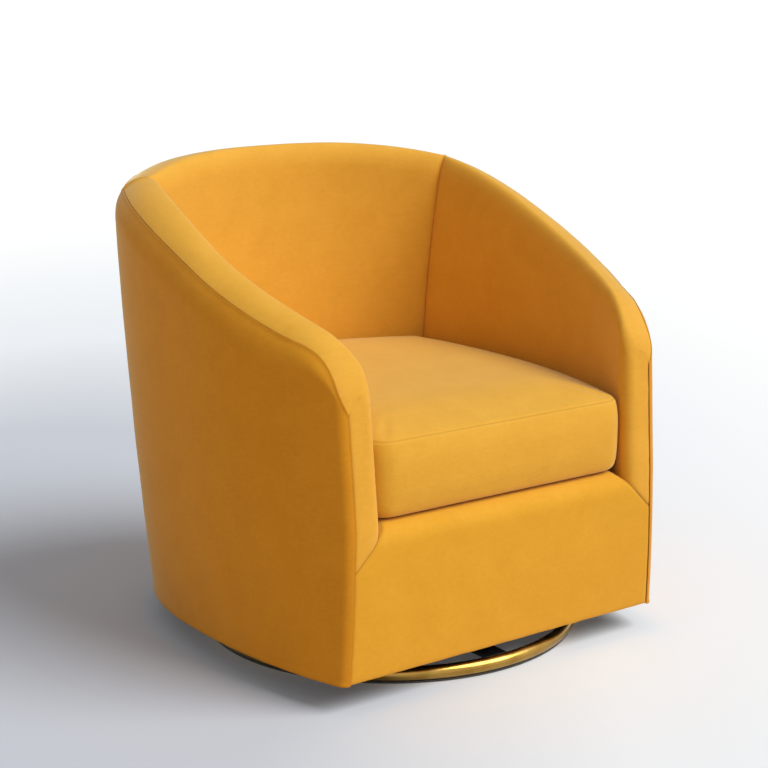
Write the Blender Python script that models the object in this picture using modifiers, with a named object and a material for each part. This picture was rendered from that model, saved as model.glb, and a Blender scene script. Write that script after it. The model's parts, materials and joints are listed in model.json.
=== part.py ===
# Swivel barrel chair: an upholstered shell on a sprung frame, turning on a ball race over a tube ring.
# Metres, +Z up. The floor is z = 0 and the chair faces -Y. Shapes are drawn about the swivel axis; the objects are
# then moved by SWIVEL_Y, so that the chair's middle stands on the origin and each object's origin on the axis.
import math

import bmesh
import bpy
from mathutils import Vector

# Clearances and helpers
GAP = 0.0003                 # between neighbours that touch
OVERRUN = 0.02               # how far a cutter reaches past what it cuts

# Base ring, spider and swivel, from the floor up
GLIDE_WIDTH = 0.009
GLIDE_HEIGHT = 0.0032
RING_RADIUS = 0.3015         # to the middle of the tube
TUBE_RADIUS = 0.011
SPIDER_THICKNESS = 0.006
SPIDER_ARM_WIDTH = 0.038
SPIDER_HUB_RADIUS = 0.088
SPIDER_HOLE_RADIUS = 0.0165
PLATE_MARGIN = 0.017         # from the bolts to the edge of the two swivel plates
PLATE_CORNER = 0.018
PLATE_THICKNESS = 0.003
PLATE_BOLT_SPACING = 0.116   # their square bolt pattern
BOLT_RADIUS = 0.0035
BOLT_HEAD_RADIUS = 0.0075
BOLT_HEAD_HEIGHT = 0.003
BOLT_CROWN_SHARE = 0.7       # width of a head's flat top
RACE_RADIUS = 0.048          # to the middle of the balls
RACE_WIDTH = 0.016
RACE_HEIGHT = 0.0094
RACE_GROOVE = 0.001
BALL_RADIUS = 0.004
BALL_COUNT = 12
CAGE_WIDTH = 0.012
CAGE_THICKNESS = 0.0024
KINGPIN_RADIUS = 0.008
KINGPIN_HEAD_RADIUS = 0.013
KINGPIN_HEAD_HEIGHT = 0.005

# Upholstered shell: outside form
HEM_DROP = 0.0088            # hem below the frame
BACK_TOP_Z = 0.7625          # crest of the back
ARM_CREST_Z = 0.525          # crest of the arm, carried forward to the front face
FRONT_REACH = 0.312          # swivel axis to the front face
HEM_HALF_WIDTH = 0.3568
TOP_HALF_WIDTH = 0.3944
HEM_NARROWING = 0.0481       # how much narrower the front is than the middle
TOP_NARROWING = 0.1023
HEM_BACK_REACH = 0.4023      # swivel axis to the outside back
TOP_BACK_REACH = 0.410
HEM_SQUARENESS = 2.54        # superellipse powers of the back's plan
TOP_SQUARENESS = 3.03
FLARE_BOW_SHARE = 0.123      # how far the outside bows out between hem and crest
FRONT_UNDERCUT = 0.006       # the hem stands this far behind the front face
UNDERCUT_HEIGHT = 0.17
UNDERCUT_DEPTH = 0.10
ARM_RAKE = 0.0196            # how far the arm fronts lean back, from the seat to the crest
FRONT_CORNER_RADIUS = 0.010  # upright outer edge of the arm front
INNER_CORNER_RADIUS = 0.0246 # upright inner edge of the arm front
NOSE_LENGTH = 0.0763         # the rim rolls down to the front over this length
NOSE_HEIGHT = 0.0578
OUTER_ROLL = 0.0639          # height of the roll outside the rim's crest
INNER_ROLL = 0.039           # and inside it
NOSE_ROLL = 0.0278           # height of both at the front face
ROLL_BLEND = 0.12            # they grow to their full height over this length
RIM_SPLIT_SHARE = 0.798      # crest of the rim, from the outside
SEAM_FRONT_ANGLE = math.radians(35)  # how far up the roll the outside cover's seam runs, at the front face
SEAM_ROLL_ANGLE = math.radians(60)   # and over the arms and the back
SEAM_BLEND = 0.025           # it rises to the second angle over this length
RIM_RISE_SHARES = (0.3434, 0.3412, 0.0592, -0.4835)  # how the crest's rise leaves a straight line

# Upholstered shell: walls
WALL_FRONT = 0.0689          # arm thickness near the front, at the deck
WALL_FRONT_BACKSET = 0.032   # taken this far behind the front face
WALL_MIDDLE = 0.0850         # the same beside the swivel axis
WALL_CREASE = 0.077
WALL_BACK = 0.0822
FRONT_LEAN_SHARE = 0.0045    # how much the arms' inner faces open per height, near the front
MIDDLE_LEAN_SHARE = 0.0578   # and beside the swivel axis
CREASE_ANGLE = math.radians(44)
CREASE_LEAN = math.radians(5.94)  # how far round the crease comes forward between seat and rim
CREASE_PULL = 0.008          # depth of the crease between arm and back
CREASE_ROUND = 0.016
SKIN = 0.0065                # outside cover with its padding and liner
CORNER_RELIEF = 0.0045       # hidden room beside the outside cover's front edge
FRONT_PAD = 0.020            # padding on the arm fronts and the front rail
FRAME_DEPTH = 0.0103         # outside face of the frame, in from the outside of the cover
FRAME_THICKNESS = 0.0234
BACKING = 0.0023             # arm boards and back webbing
BOARD_DROP = 0.012           # the arm boards end this far below the top rails
TOP_PAD = 0.046              # padding over the top rails
COVER_FACETS = 3             # points on the roll, up to the seam
RIM_FACETS = 4               # and from the seam to the crest
ROLL_LEAD_SHARE = 0.3        # the flat rows of a wall end this far below its roll
FOOT_ROWS = 3                # heights at which the shell is cut, from the hem to the pads' feet
WALL_ROWS = 5                # and from there up

# Frame
RAIL_HEIGHT = 0.063
TOP_RAIL_HEIGHT = 0.045
TOP_RAIL_INSET = 0.004       # the top rails stand in from the posts, clear of the cover's rolled edge
SEAT_RAIL_TOP_Z = 0.2575
SEAT_RAIL_HEIGHT = 0.070
SEAT_RAIL_THICKNESS = 0.022
BOARD_THICKNESS = 0.020
BOARD_WIDTH = 0.060
BLOCK_LEG = 0.055
BLOCK_HEIGHT = 0.045
WEB_WIDTH = 0.050
WEB_HEIGHT_SHARES = (0.16, 0.45, 0.74)
DUST_THICKNESS = 0.001
KINGPIN_ROOM = 0.003         # round the kingpin's head, in the dust cover

# Seat suspension
WIRE_RADIUS = 0.0019
TIE_RADIUS = 0.0012
SPRING_COUNT = 5
SPRING_SPREAD_SHARE = 0.75    # of the seat's width, which the springs are spread over
SPRING_HALF_WIDTH = 0.024
SPRING_WAVES = 7
SPRING_FACETS = 8            # per wave
CLIP_THICKNESS = 0.0012
CLIP_LENGTH = 0.020
DECK_THICKNESS = 0.0131

# Front border and loose cushion
BORDER_ROLL = 0.032          # rounded top edge of the front border
BORDER_TOP_DEPTH = 0.057     # how far the border reaches back over the rail
MITRE_SIDE_Z = 0.212         # where the mitre meets the outer corner
CUSHION_SETBACK = 0.011      # cushion front behind the arm fronts
CUSHION_CLEARANCE = 0.002
CUSHION_FRONT_THICKNESS = 0.120
CUSHION_BACK_THICKNESS = 0.133
CUSHION_CROWN = 0.024
CUSHION_CORNER = 0.030
CUSHION_SEAM_INSET = 0.007
CUSHION_FOOT_INSET = 0.012
CUSHION_FRONT_SHARES = (0, 0.35, 0.7)         # points along half the front edge
CUSHION_FOOT_SHARES = (0.55, 0.2, 0)          # rings under it, in from the edge
CUSHION_BOXING_SHARES = ((0.03, 1), (0.16, 0.3), (0.42, 0), (0.70, 0), (0.90, 0.35), (1, 1))  # height, inset
CUSHION_CROWN_SHARES = (0.035, 0.1, 0.2, 0.34, 0.52, 0.72, 0.88)  # rings over the top, in from the seam

# Levels that follow from the sizes above
RING_Z = GLIDE_HEIGHT + GAP + TUBE_RADIUS
SPIDER_TOP_Z = RING_Z + SPIDER_THICKNESS / 2
LOWER_PLATE_Z = SPIDER_TOP_Z + GAP
LOWER_RACE_Z = LOWER_PLATE_Z + PLATE_THICKNESS + RACE_HEIGHT
BALL_Z = LOWER_RACE_Z + GAP + BALL_RADIUS
UPPER_RACE_Z = BALL_Z + BALL_RADIUS + GAP
UPPER_PLATE_Z = UPPER_RACE_Z + RACE_HEIGHT
UPPER_PLATE_TOP_Z = UPPER_PLATE_Z + PLATE_THICKNESS
DUST_Z = UPPER_PLATE_TOP_Z + GAP
FRAME_Z = DUST_Z + DUST_THICKNESS + GAP
HEM_Z = FRAME_Z - HEM_DROP
SWIVEL_Y = (FRONT_REACH - TOP_BACK_REACH) / 2
RAIL_TOP_Z = FRAME_Z + RAIL_HEIGHT
WIRE_Z = SEAT_RAIL_TOP_Z + GAP + WIRE_RADIUS
PAD_FOOT_Z = WIRE_Z + WIRE_RADIUS + 2 * GAP + CLIP_THICKNESS
DECK_TOP_Z = PAD_FOOT_Z + DECK_THICKNESS
CUSHION_Z = DECK_TOP_Z + GAP
FRONT_Y = -FRONT_REACH
FRAME_INSIDE = FRAME_DEPTH + FRAME_THICKNESS
PAD_DEPTH = FRAME_INSIDE + 2 * GAP + BACKING
FRAME_FRONT = FRONT_PAD + GAP
CREASE_GAP_ANGLE = GAP / (2 * (TOP_BACK_REACH - WALL_BACK))


# Scene set-up

def clear_scene():
    for thing in list(bpy.data.objects):
        bpy.data.objects.remove(thing, do_unlink=True)


def new_collection(name):
    collection = bpy.data.collections.new(name)
    bpy.context.scene.collection.children.link(collection)
    return collection


def material(name, red, green, blue, roughness, metallic=0.0):
    made = bpy.data.materials.new(name)
    made.use_nodes = True
    shader = made.node_tree.nodes["Principled BSDF"]
    shader.inputs["Base Color"].default_value = (red, green, blue, 1)
    shader.inputs["Roughness"].default_value = roughness
    shader.inputs["Metallic"].default_value = metallic
    made.diffuse_color = (red, green, blue, 1)
    return made


clear_scene()
CHAIR = new_collection("swivel_barrel_chair")
CUTTERS = new_collection("cutters")
CLOTH = material("yellow_upholstery", 0.70, 0.34, 0.05, 0.85)
CUSHION_CLOTH = material("yellow_cushion", 0.72, 0.38, 0.08, 0.85)
BRASS = material("brass_plated_steel", 0.62, 0.40, 0.12, 0.22, 1.0)
BLACK_STEEL = material("black_steel", 0.02, 0.02, 0.022, 0.45, 0.6)
ZINC = material("zinc_plated_steel", 0.45, 0.46, 0.48, 0.35, 1.0)
SPRING_STEEL = material("spring_steel", 0.20, 0.20, 0.21, 0.4, 1.0)
TIMBER = material("frame_timber", 0.55, 0.36, 0.19, 0.7)
PLYWOOD = material("bent_plywood", 0.60, 0.42, 0.24, 0.7)
WEBBING = material("elastic_webbing", 0.05, 0.05, 0.05, 0.9)
FELT = material("grey_felt", 0.30, 0.29, 0.27, 0.95)
DUST_CLOTH = material("black_dust_cloth", 0.015, 0.015, 0.015, 0.95)
GLIDE_PLASTIC = material("clear_glide_plastic", 0.30, 0.30, 0.28, 0.4)


def add_object(name, mesh, finish):
    made = bpy.data.objects.new(name, mesh)
    CHAIR.objects.link(made)
    mesh.materials.clear()
    mesh.materials.append(finish)
    return made


def add_cutter(name, mesh):
    made = bpy.data.objects.new(name, mesh)
    CUTTERS.objects.link(made)
    made.hide_render = True
    made.display_type = "WIRE"
    return made


def boolean(target, cutter, operation="DIFFERENCE"):
    step = target.modifiers.new(cutter.name, "BOOLEAN")
    step.operation = operation
    step.solver = "EXACT"
    step.object = cutter


# Mesh building

def smooth_edges(mesh, degrees=40):
    mesh.shade_smooth()
    mesh.set_sharp_from_angle(angle=math.radians(degrees))


def mesh_from(build, name):
    made = bmesh.new()
    build(made)
    bmesh.ops.recalc_face_normals(made, faces=made.faces)
    mesh = bpy.data.meshes.new(name)
    made.to_mesh(mesh)
    made.free()
    return mesh


def split_quad(made, corners):
    """Two triangles, parted from the lower front corner to the upper back one, as in neighbouring pieces."""
    a, b, c, d = corners
    first = (c.co.y - a.co.y) * (c.co.z - a.co.z)
    second = (d.co.y - b.co.y) * (d.co.z - b.co.z)
    triangles = ((a, b, c), (a, c, d)) if first >= second else ((a, b, d), (b, c, d))
    for triangle in triangles:
        made.faces.new(triangle)


def loft(name, sections, folded=False):
    """A closed body through loops that have the same number of points.

    Folded ends are closed rung by rung, from the loop's first and last points up to its middle.
    """
    def build(made):
        rings = [[made.verts.new(point) for point in loop] for loop in sections]
        count = len(rings[0])
        for first, second in zip(rings, rings[1:]):
            for i in range(count):
                j = (i + 1) % count
                split_quad(made, (first[i], first[j], second[j], second[i]))
        for ring in (rings[0][::-1], rings[-1]):
            if not folded:
                made.faces.new(ring)
                continue
            for i in range((count - 1) // 2):
                rung = (ring[i], ring[i + 1], ring[count - 2 - i], ring[count - 1 - i])
                if rung[1] is rung[2]:
                    made.faces.new((rung[0], rung[1], rung[3]))
                else:
                    split_quad(made, rung)
    return mesh_from(build, name)


def box(name, low, high):
    def build(made):
        bmesh.ops.create_cube(made, size=1)
        for corner in made.verts:
            corner.co = Vector([(low[k] + high[k]) / 2 + corner.co[k] * (high[k] - low[k]) for k in range(3)])
    return mesh_from(build, name)


def cylinders(name, places, radius, low, high, sides=16):
    """Upright cylinders in one mesh."""
    def build(made):
        for x, y in places:
            found = bmesh.ops.create_cone(made, cap_ends=True, segments=sides, radius1=radius,
                                          radius2=radius, depth=high - low)
            bmesh.ops.translate(made, verts=found["verts"], vec=(x, y, (low + high) / 2))
    return mesh_from(build, name)


def prism(name, outline, low, high, place):
    """An outline swept from low to high; place(u, v, w) puts a point in space."""
    return loft(name, [[place(u, v, w) for u, v in outline] for w in (low, high)])


def turned(name, profile, finish, steps, collection=None):
    """A closed profile of (radius, height), drawn down its outer side, turned about Z."""
    mesh = bpy.data.meshes.new(name)
    count = len(profile)
    edges = [(i, (i + 1) % count) for i in range(count)]
    mesh.from_pydata([(radius, 0, height) for radius, height in profile], edges, [])
    made = add_object(name, mesh, finish) if collection is None else add_cutter(name, mesh)
    screw = made.modifiers.new("turn", "SCREW")
    screw.steps = steps
    screw.render_steps = steps
    screw.use_merge_vertices = True
    screw.merge_threshold = GAP / 10
    screw.use_smooth_shade = True
    return made


def wire_curve(name, points, radius, resolution, finish):
    curve = bpy.data.curves.new(name, "CURVE")
    curve.dimensions = "3D"
    curve.bevel_depth = radius
    curve.bevel_resolution = resolution
    curve.use_fill_caps = True
    line = curve.splines.new("POLY")
    line.points.add(len(points) - 1)
    for knot, point in zip(line.points, points):
        knot.co = (*point, 1)
    made = bpy.data.objects.new(name, curve)
    CHAIR.objects.link(made)
    curve.materials.append(finish)
    return made


# Shape of the shell
# A station is where the shell is cut: ("setback", e) is an upright plane across an arm, e behind the front
# face, and ("angle", a) is an upright plane through the swivel axis, a from +X towards +Y.

def mix(first, second, share):
    return first + (second - first) * share


def flare(z):
    share = (z - HEM_Z) / (BACK_TOP_Z - HEM_Z)
    return share + FLARE_BOW_SHARE * 4 * share * (1 - share)


def front_y(station, z):
    """Where a station across an arm stands: those near the front lean back above the seat."""
    value = station[1]
    rise = max(z - DECK_TOP_Z, 0) / (ARM_CREST_Z - DECK_TOP_Z)
    return FRONT_Y + value + ARM_RAKE * rise * (1 - value / FRONT_REACH)


def setback_at(y, z):
    """The setback of the station that passes here at this height."""
    lean = ARM_RAKE * max(z - DECK_TOP_Z, 0) / (ARM_CREST_Z - DECK_TOP_Z)
    return (y - FRONT_Y - lean) / (1 - lean / FRONT_REACH)


def quarter(distance, radius):
    """How far a rounded edge still stands back, this distance from its start."""
    if distance >= radius:
        return 0
    return radius - math.sqrt(radius**2 - (radius - distance)**2)


def side_x(y, z):
    narrowing = mix(HEM_NARROWING, TOP_NARROWING, flare(z))
    return mix(HEM_HALF_WIDTH, TOP_HALF_WIDTH, flare(z)) - narrowing * (y / FRONT_REACH)**2


def back_radius(angle, z):
    width = mix(HEM_HALF_WIDTH, TOP_HALF_WIDTH, flare(z))
    reach = mix(HEM_BACK_REACH, TOP_BACK_REACH, flare(z))
    power = mix(HEM_SQUARENESS, TOP_SQUARENESS, flare(z))
    return ((math.cos(angle) / width)**power + (math.sin(angle) / reach)**power)**(-1 / power)


def leaned(station, z):
    """Where round the plan a station lies at this height; those near the crease lean with it."""
    value = station[1]
    span = CREASE_ANGLE if value < CREASE_ANGLE else math.pi / 2 - CREASE_ANGLE
    weight = 1 - abs(value - CREASE_ANGLE) / span
    rise = max(z - DECK_TOP_Z, 0) / (BACK_TOP_Z - DECK_TOP_Z)
    return value - CREASE_LEAN * weight * rise**2


def outer_plan(station, z):
    kind, value = station
    if kind == "angle":
        angle = leaned(station, z)
        radius = back_radius(angle, z)
        return Vector((radius * math.cos(angle), radius * math.sin(angle)))
    y = front_y(station, z)
    return Vector((side_x(y, z) - quarter(value, FRONT_CORNER_RADIUS), y))


def inward(station, z):
    if station[0] == "angle":
        angle = leaned(station, z)
        return Vector((-math.cos(angle), -math.sin(angle)))
    return Vector((-1, 0))


def inner_x(y, thickness, lean_share, z):
    """The arm's inner face at one place: this thick at the deck, opening this much per height above it."""
    return side_x(y, DECK_TOP_Z) - thickness + lean_share * (z - DECK_TOP_Z)


def crease_pull(station, z):
    """The covers draw in towards the crease between arm and back."""
    kind, value = station
    if kind != "angle":
        return 0
    distance = abs(value - CREASE_ANGLE) * (back_radius(CREASE_ANGLE, z) - WALL_CREASE)
    return CREASE_PULL * quarter(distance, CREASE_ROUND) / CREASE_ROUND


def bow_reach(middle, bend, slope):
    """Where a line from the axis at this slope meets a shallow bow whose middle is this far out."""
    return 2 * middle / (1 + math.sqrt(1 + 4 * bend * slope**2 * middle))


def inner_plan(station, z):
    """The face towards the sitter: two shallow bows that meet in a crease."""
    kind, value = station
    middle_x = inner_x(0, WALL_MIDDLE, MIDDLE_LEAN_SHARE, z)
    if kind == "setback":
        y = front_y(station, z)
        span = FRONT_REACH - WALL_FRONT_BACKSET
        x = middle_x - (middle_x - inner_x(-span, WALL_FRONT, FRONT_LEAN_SHARE, z)) * (y / span)**2
        return Vector((x + quarter(value, INNER_CORNER_RADIUS), y))
    angle = leaned(station, z)
    crease = leaned(CREASE[0], z)
    crease_radius = back_radius(crease, z) - WALL_CREASE
    crease_x = crease_radius * math.cos(crease)
    crease_y = crease_radius * math.sin(crease)
    if value < CREASE_ANGLE:
        radius = bow_reach(middle_x, (middle_x - crease_x) / crease_y**2, math.tan(angle)) / math.cos(angle)
    else:
        middle_y = mix(HEM_BACK_REACH, TOP_BACK_REACH, flare(z)) - WALL_BACK
        slope = math.cos(angle) / math.sin(angle)
        radius = bow_reach(middle_y, (middle_y - crease_y) / crease_x**2, slope) / math.sin(angle)
    radius += crease_pull(station, z)
    return Vector((radius * math.cos(angle), radius * math.sin(angle)))


def rim_rise(share):
    """The crest's height between arm and back, as a share, this far from the front to the back."""
    side = 2 * share - 1
    return share + share * (1 - share) * sum(part * side**power for power, part in enumerate(RIM_RISE_SHARES))


def crest_z(station):
    kind, value = station
    if kind == "setback":
        y = FRONT_Y + value
        fall = NOSE_HEIGHT * quarter(value, NOSE_LENGTH) / NOSE_LENGTH
    else:
        angle = leaned(station, BACK_TOP_Z)
        y = back_radius(angle, BACK_TOP_Z) * math.sin(angle)
        fall = 0
    share = (y - FRONT_Y) / (TOP_BACK_REACH + FRONT_REACH)
    return mix(ARM_CREST_Z, BACK_TOP_Z, rim_rise(share)) - fall


def eased(station, front, full, length):
    """A size that grows smoothly from the front face to its full value over this length."""
    kind, value = station
    if kind == "angle":
        return full
    share = min(value / length, 1)
    return mix(front, full, share * share * (3 - 2 * share))


def outer_roll(station):
    return eased(station, NOSE_ROLL, OUTER_ROLL, ROLL_BLEND)


def inner_roll(station):
    return eased(station, NOSE_ROLL, INNER_ROLL, ROLL_BLEND)


def seam_angle(station):
    kind, value = station
    left = 0 if kind == "angle" else max(1 - value / SEAM_BLEND, 0)
    return mix(SEAM_ROLL_ANGLE, SEAM_FRONT_ANGLE, left**3)


def wall(station, z):
    return (inner_plan(station, z) - outer_plan(station, z)).length


def undercut(station, z):
    kind, value = station
    if kind == "angle" or value >= UNDERCUT_DEPTH or z >= HEM_Z + UNDERCUT_HEIGHT:
        return 0
    drop = 1 - (z - HEM_Z) / UNDERCUT_HEIGHT
    return FRONT_UNDERCUT * drop**2 * (1 - value / UNDERCUT_DEPTH)**2


def at(station, z, depth=0):
    """A point this deep inside the outside face."""
    point = outer_plan(station, z) + inward(station, z) * depth
    return Vector((point.x, point.y + undercut(station, z), z))


def corner_inset(station, skin):
    """How much further in the face lies that is this deep behind the rounded upright edge."""
    kind, value = station
    if kind == "angle":
        return 0
    return quarter(max(value - skin, 0), FRONT_CORNER_RADIUS - skin) - quarter(value, FRONT_CORNER_RADIUS)


def rolled(station, angle, skin=0, clearance=0):
    """A point on, or this deep behind, the outer half of the roll: 0 at its foot, 90 degrees at the crest."""
    height = outer_roll(station)
    z = crest_z(station) - height + (height - skin) * math.sin(angle)
    half = wall(station, crest_z(station)) * RIM_SPLIT_SHARE
    depth = mix(half, skin, math.cos(angle)) + corner_inset(station, skin)
    return at(station, z, depth + clearance)


def rolled_inside(station, angle):
    """A point on the inner half of the roll, 90 degrees at the crest and 0 at its foot."""
    height = inner_roll(station)
    z = crest_z(station) - height + height * math.sin(angle)
    half = wall(station, crest_z(station)) * (1 - RIM_SPLIT_SHARE)
    return at(station, z, wall(station, z) - half * (1 - math.cos(angle)))


def spread(low, high, count):
    return [mix(low, high, k / (count - 1)) for k in range(count)]


def mirrored(point):
    return Vector((-point.x, point.y, point.z))


def both_sides(sections):
    """Sections of the +X half, which end on the middle plane, carried round to the other side."""
    other = [[mirrored(point) for point in loop] for loop in reversed(sections[:-1])]
    return sections + other


def one_side(sections, side):
    if side > 0:
        return sections
    return [[mirrored(point) for point in loop] for loop in sections]


def round_setbacks(start, radius, shares):
    """Setbacks of points spread round a quarter turn that starts this far behind the front face."""
    return [start + radius * (1 - math.cos(math.pi / 2 * share)) for share in shares]


# Every bent piece is cut at the same stations, so that neighbours have parallel facets.
OUTER_EDGE_SHARES = (0, 0.22, 0.39)
INNER_EDGE_SHARES = (0, 0.5, 1)
INNER_CORNER_SHARES = (0.36, 1)
NOSE_SHARES = (0.3, 0.65, 1)
FRAME_NOSE_SHARES = (0, 0.3, 0.65, 1)
HAUNCH_SHARES = (0.18, 0.36, 0.54, 0.72, 0.86, 0.955)
BACK_SHARES = (0.045, 0.12, 0.24, 0.38, 0.54, 0.7, 0.85, 1)
NOSE_SETBACKS = (round_setbacks(0, FRONT_CORNER_RADIUS, OUTER_EDGE_SHARES)
                 + round_setbacks(SKIN + GAP, FRONT_CORNER_RADIUS - SKIN - GAP, INNER_EDGE_SHARES)
                 + [mix(FRONT_CORNER_RADIUS, INNER_CORNER_RADIUS, share) for share in INNER_CORNER_SHARES]
                 + [mix(INNER_CORNER_RADIUS, NOSE_LENGTH, share) for share in NOSE_SHARES])
NOSE = [("setback", setback) for setback in NOSE_SETBACKS]
FRAME_NOSE = [("setback", mix(FRAME_FRONT, NOSE_LENGTH, share)) for share in FRAME_NOSE_SHARES]
ARM = [("setback", setback) for setback in spread(NOSE_LENGTH, FRONT_REACH, 6)[1:]]
HAUNCH = [("angle", CREASE_ANGLE * share) for share in HAUNCH_SHARES]
ARM_END = [("angle", CREASE_ANGLE - CREASE_GAP_ANGLE)]
CREASE = [("angle", CREASE_ANGLE)]
BACK_START = [("angle", CREASE_ANGLE + CREASE_GAP_ANGLE)]
BACK = [("angle", mix(CREASE_ANGLE, math.pi / 2, share)) for share in BACK_SHARES]


def low_rows():
    return spread(HEM_Z, PAD_FOOT_Z, FOOT_ROWS)[:-1]


def frame_rows(station):
    """Heights at which the frame and the pads' inner faces are cut, from the hem up."""
    return low_rows() + spread(PAD_FOOT_Z, rail_top(station), WALL_ROWS)


def pad_rows(station):
    """The same for the outside cover and the padded walls, up to the rim's roll."""
    top = crest_z(station) - (1 + ROLL_LEAD_SHARE) * outer_roll(station)
    return low_rows() + spread(PAD_FOOT_Z, top, WALL_ROWS)


def within(rows, low, high):
    return [z for z in rows if low + GAP < z < high - GAP]


def facet_x(y, z, depth):
    """How wide the shell's facets are at this place on the right side, this deep inside the outside."""
    line = [at(station, z, depth) for station in FRAME_NOSE + ARM + HAUNCH + CREASE + BACK]
    for first, second in zip(line, line[1:]):
        if first.y <= y <= second.y:
            return mix(first.x, second.x, (y - first.y) / (second.y - first.y))
    return line[0].x


# Bent members: a section between two depths and two heights, carried round the shell

def bent(name, stations, depths, low, high, finish, side=0):
    between = [within(frame_rows(station), low(station), high(station)) for station in stations]
    count = min(len(rows) for rows in between)
    sections = []
    for station, rows in zip(stations, between):
        rows = [low(station)] + rows[:count] + [high(station)]
        sections.append([at(station, z, depths[0]) for z in rows]
                        + [at(station, z, depths[1]) for z in reversed(rows)])
    loops = both_sides(sections) if side == 0 else one_side(sections, side)
    return add_object(name, loft(name, loops, True), finish)


def level(z):
    return lambda station: z


def rail_top(station):
    return crest_z(station) - TOP_PAD - 3 * GAP


def rail_foot(station):
    return rail_top(station) - TOP_RAIL_HEIGHT


def below_rail(station):
    return rail_foot(station) - GAP


def board_top(station):
    return rail_top(station) - BOARD_DROP


# Base

def base_ring():
    bpy.ops.mesh.primitive_torus_add(major_radius=RING_RADIUS, minor_radius=TUBE_RADIUS, major_segments=72,
                                     minor_segments=10, location=(0, 0, RING_Z))
    made = bpy.context.object
    made.name = "base_ring"
    made.data.name = "base_ring"
    for holder in list(made.users_collection):
        holder.objects.unlink(made)
    CHAIR.objects.link(made)
    made.data.materials.append(BRASS)
    made.data.shade_smooth()


def circle_points(radius, count):
    return [(radius * math.cos(math.tau * k / count), radius * math.sin(math.tau * k / count))
            for k in range(count)]


def base_glide():
    """A clear strip glued under the tube, which the chair stands on."""
    outer, inner = RING_RADIUS + GLIDE_WIDTH / 2, RING_RADIUS - GLIDE_WIDTH / 2
    profile = [(outer, GLIDE_HEIGHT), (outer, 0), (inner, 0), (inner, GLIDE_HEIGHT)]
    turned("base_glide", profile, GLIDE_PLASTIC, 72)


def spider_outline():
    """Four arms on a round hub, ending just short of the tube."""
    half = SPIDER_ARM_WIDTH / 2
    reach = math.sqrt((RING_RADIUS - TUBE_RADIUS - GAP)**2 - half**2)
    start = math.asin(half / SPIDER_HUB_RADIUS)
    points = []
    for arm in range(4):
        turn = arm * math.pi / 2
        local = [(reach, -half), (reach, half)]
        for step in range(6):
            angle = mix(start, math.pi / 2 - start, step / 5)
            local.append((SPIDER_HUB_RADIUS * math.cos(angle), SPIDER_HUB_RADIUS * math.sin(angle)))
        for u, v in local:
            points.append((u * math.cos(turn) - v * math.sin(turn), u * math.sin(turn) + v * math.cos(turn)))
    return points


def bolt_places():
    half = PLATE_BOLT_SPACING / 2
    return [(x * half, y * half) for x in (-1, 1) for y in (-1, 1)]


def base_spider():
    bottom = SPIDER_TOP_Z - SPIDER_THICKNESS
    made = add_object("base_spider", prism("base_spider", spider_outline(), bottom, SPIDER_TOP_Z,
                                           lambda u, v, w: Vector((u, v, w))), BLACK_STEEL)
    hole = cylinders("spider_hole", [(0, 0)], SPIDER_HOLE_RADIUS, bottom - OVERRUN, SPIDER_TOP_Z + OVERRUN, 24)
    boolean(made, add_cutter("spider_hole", hole))


def plate_outline():
    half = PLATE_BOLT_SPACING / 2 + PLATE_MARGIN - PLATE_CORNER
    points = []
    for corner, (x, y) in enumerate(((half, half), (-half, half), (-half, -half), (half, -half))):
        for step in range(4):
            angle = corner * math.pi / 2 + step * math.pi / 6
            points.append((x + PLATE_CORNER * math.cos(angle), y + PLATE_CORNER * math.sin(angle)))
    return points


def race_profile(face_z, root_z):
    """A pressed race: its grooved face carries the balls, its root is sunk in the plate."""
    inner = RACE_RADIUS - RACE_WIDTH / 2
    outer = RACE_RADIUS + RACE_WIDTH / 2
    below = root_z < face_z
    lip = RACE_GROOVE if below else -RACE_GROOVE
    shoulder = BALL_RADIUS + RACE_GROOVE
    profile = [(outer, face_z + lip), (outer, root_z), (inner, root_z), (inner, face_z + lip),
               (RACE_RADIUS - shoulder, face_z + lip), (RACE_RADIUS - BALL_RADIUS / 2, face_z),
               (RACE_RADIUS + BALL_RADIUS / 2, face_z), (RACE_RADIUS + shoulder, face_z + lip)]
    return profile if below else profile[::-1]


def swivel_plate(name, low_z, face_z):
    """A square plate with its race pressed towards the balls, bored for the kingpin and four bolts."""
    high_z = low_z + PLATE_THICKNESS
    made = add_object(name, prism(name, plate_outline(), low_z, high_z, lambda u, v, w: Vector((u, v, w))), ZINC)
    race = turned(name + "_race", race_profile(face_z, (low_z + high_z) / 2), ZINC, 32, CUTTERS)
    boolean(made, race, "UNION")
    bore = cylinders(name + "_bore", [(0, 0)], KINGPIN_RADIUS + GAP, low_z - OVERRUN, high_z + OVERRUN, 24)
    boolean(made, add_cutter(name + "_bore", bore))
    bolts = cylinders(name + "_bolt_holes", bolt_places(), BOLT_RADIUS + GAP, low_z - OVERRUN,
                      high_z + OVERRUN, 12)
    boolean(made, add_cutter(name + "_bolt_holes", bolts))


def kingpin():
    foot = LOWER_PLATE_Z - GAP - KINGPIN_HEAD_HEIGHT
    top = UPPER_PLATE_TOP_Z + GAP
    profile = [(0, top + KINGPIN_HEAD_HEIGHT), (KINGPIN_HEAD_RADIUS, top + KINGPIN_HEAD_HEIGHT),
               (KINGPIN_HEAD_RADIUS, top), (KINGPIN_RADIUS, top), (KINGPIN_RADIUS, foot + KINGPIN_HEAD_HEIGHT),
               (KINGPIN_HEAD_RADIUS, foot + KINGPIN_HEAD_HEIGHT), (KINGPIN_HEAD_RADIUS, foot), (0, foot)]
    spun("swivel_kingpin", (0, 0), profile, ZINC, 24)


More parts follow.
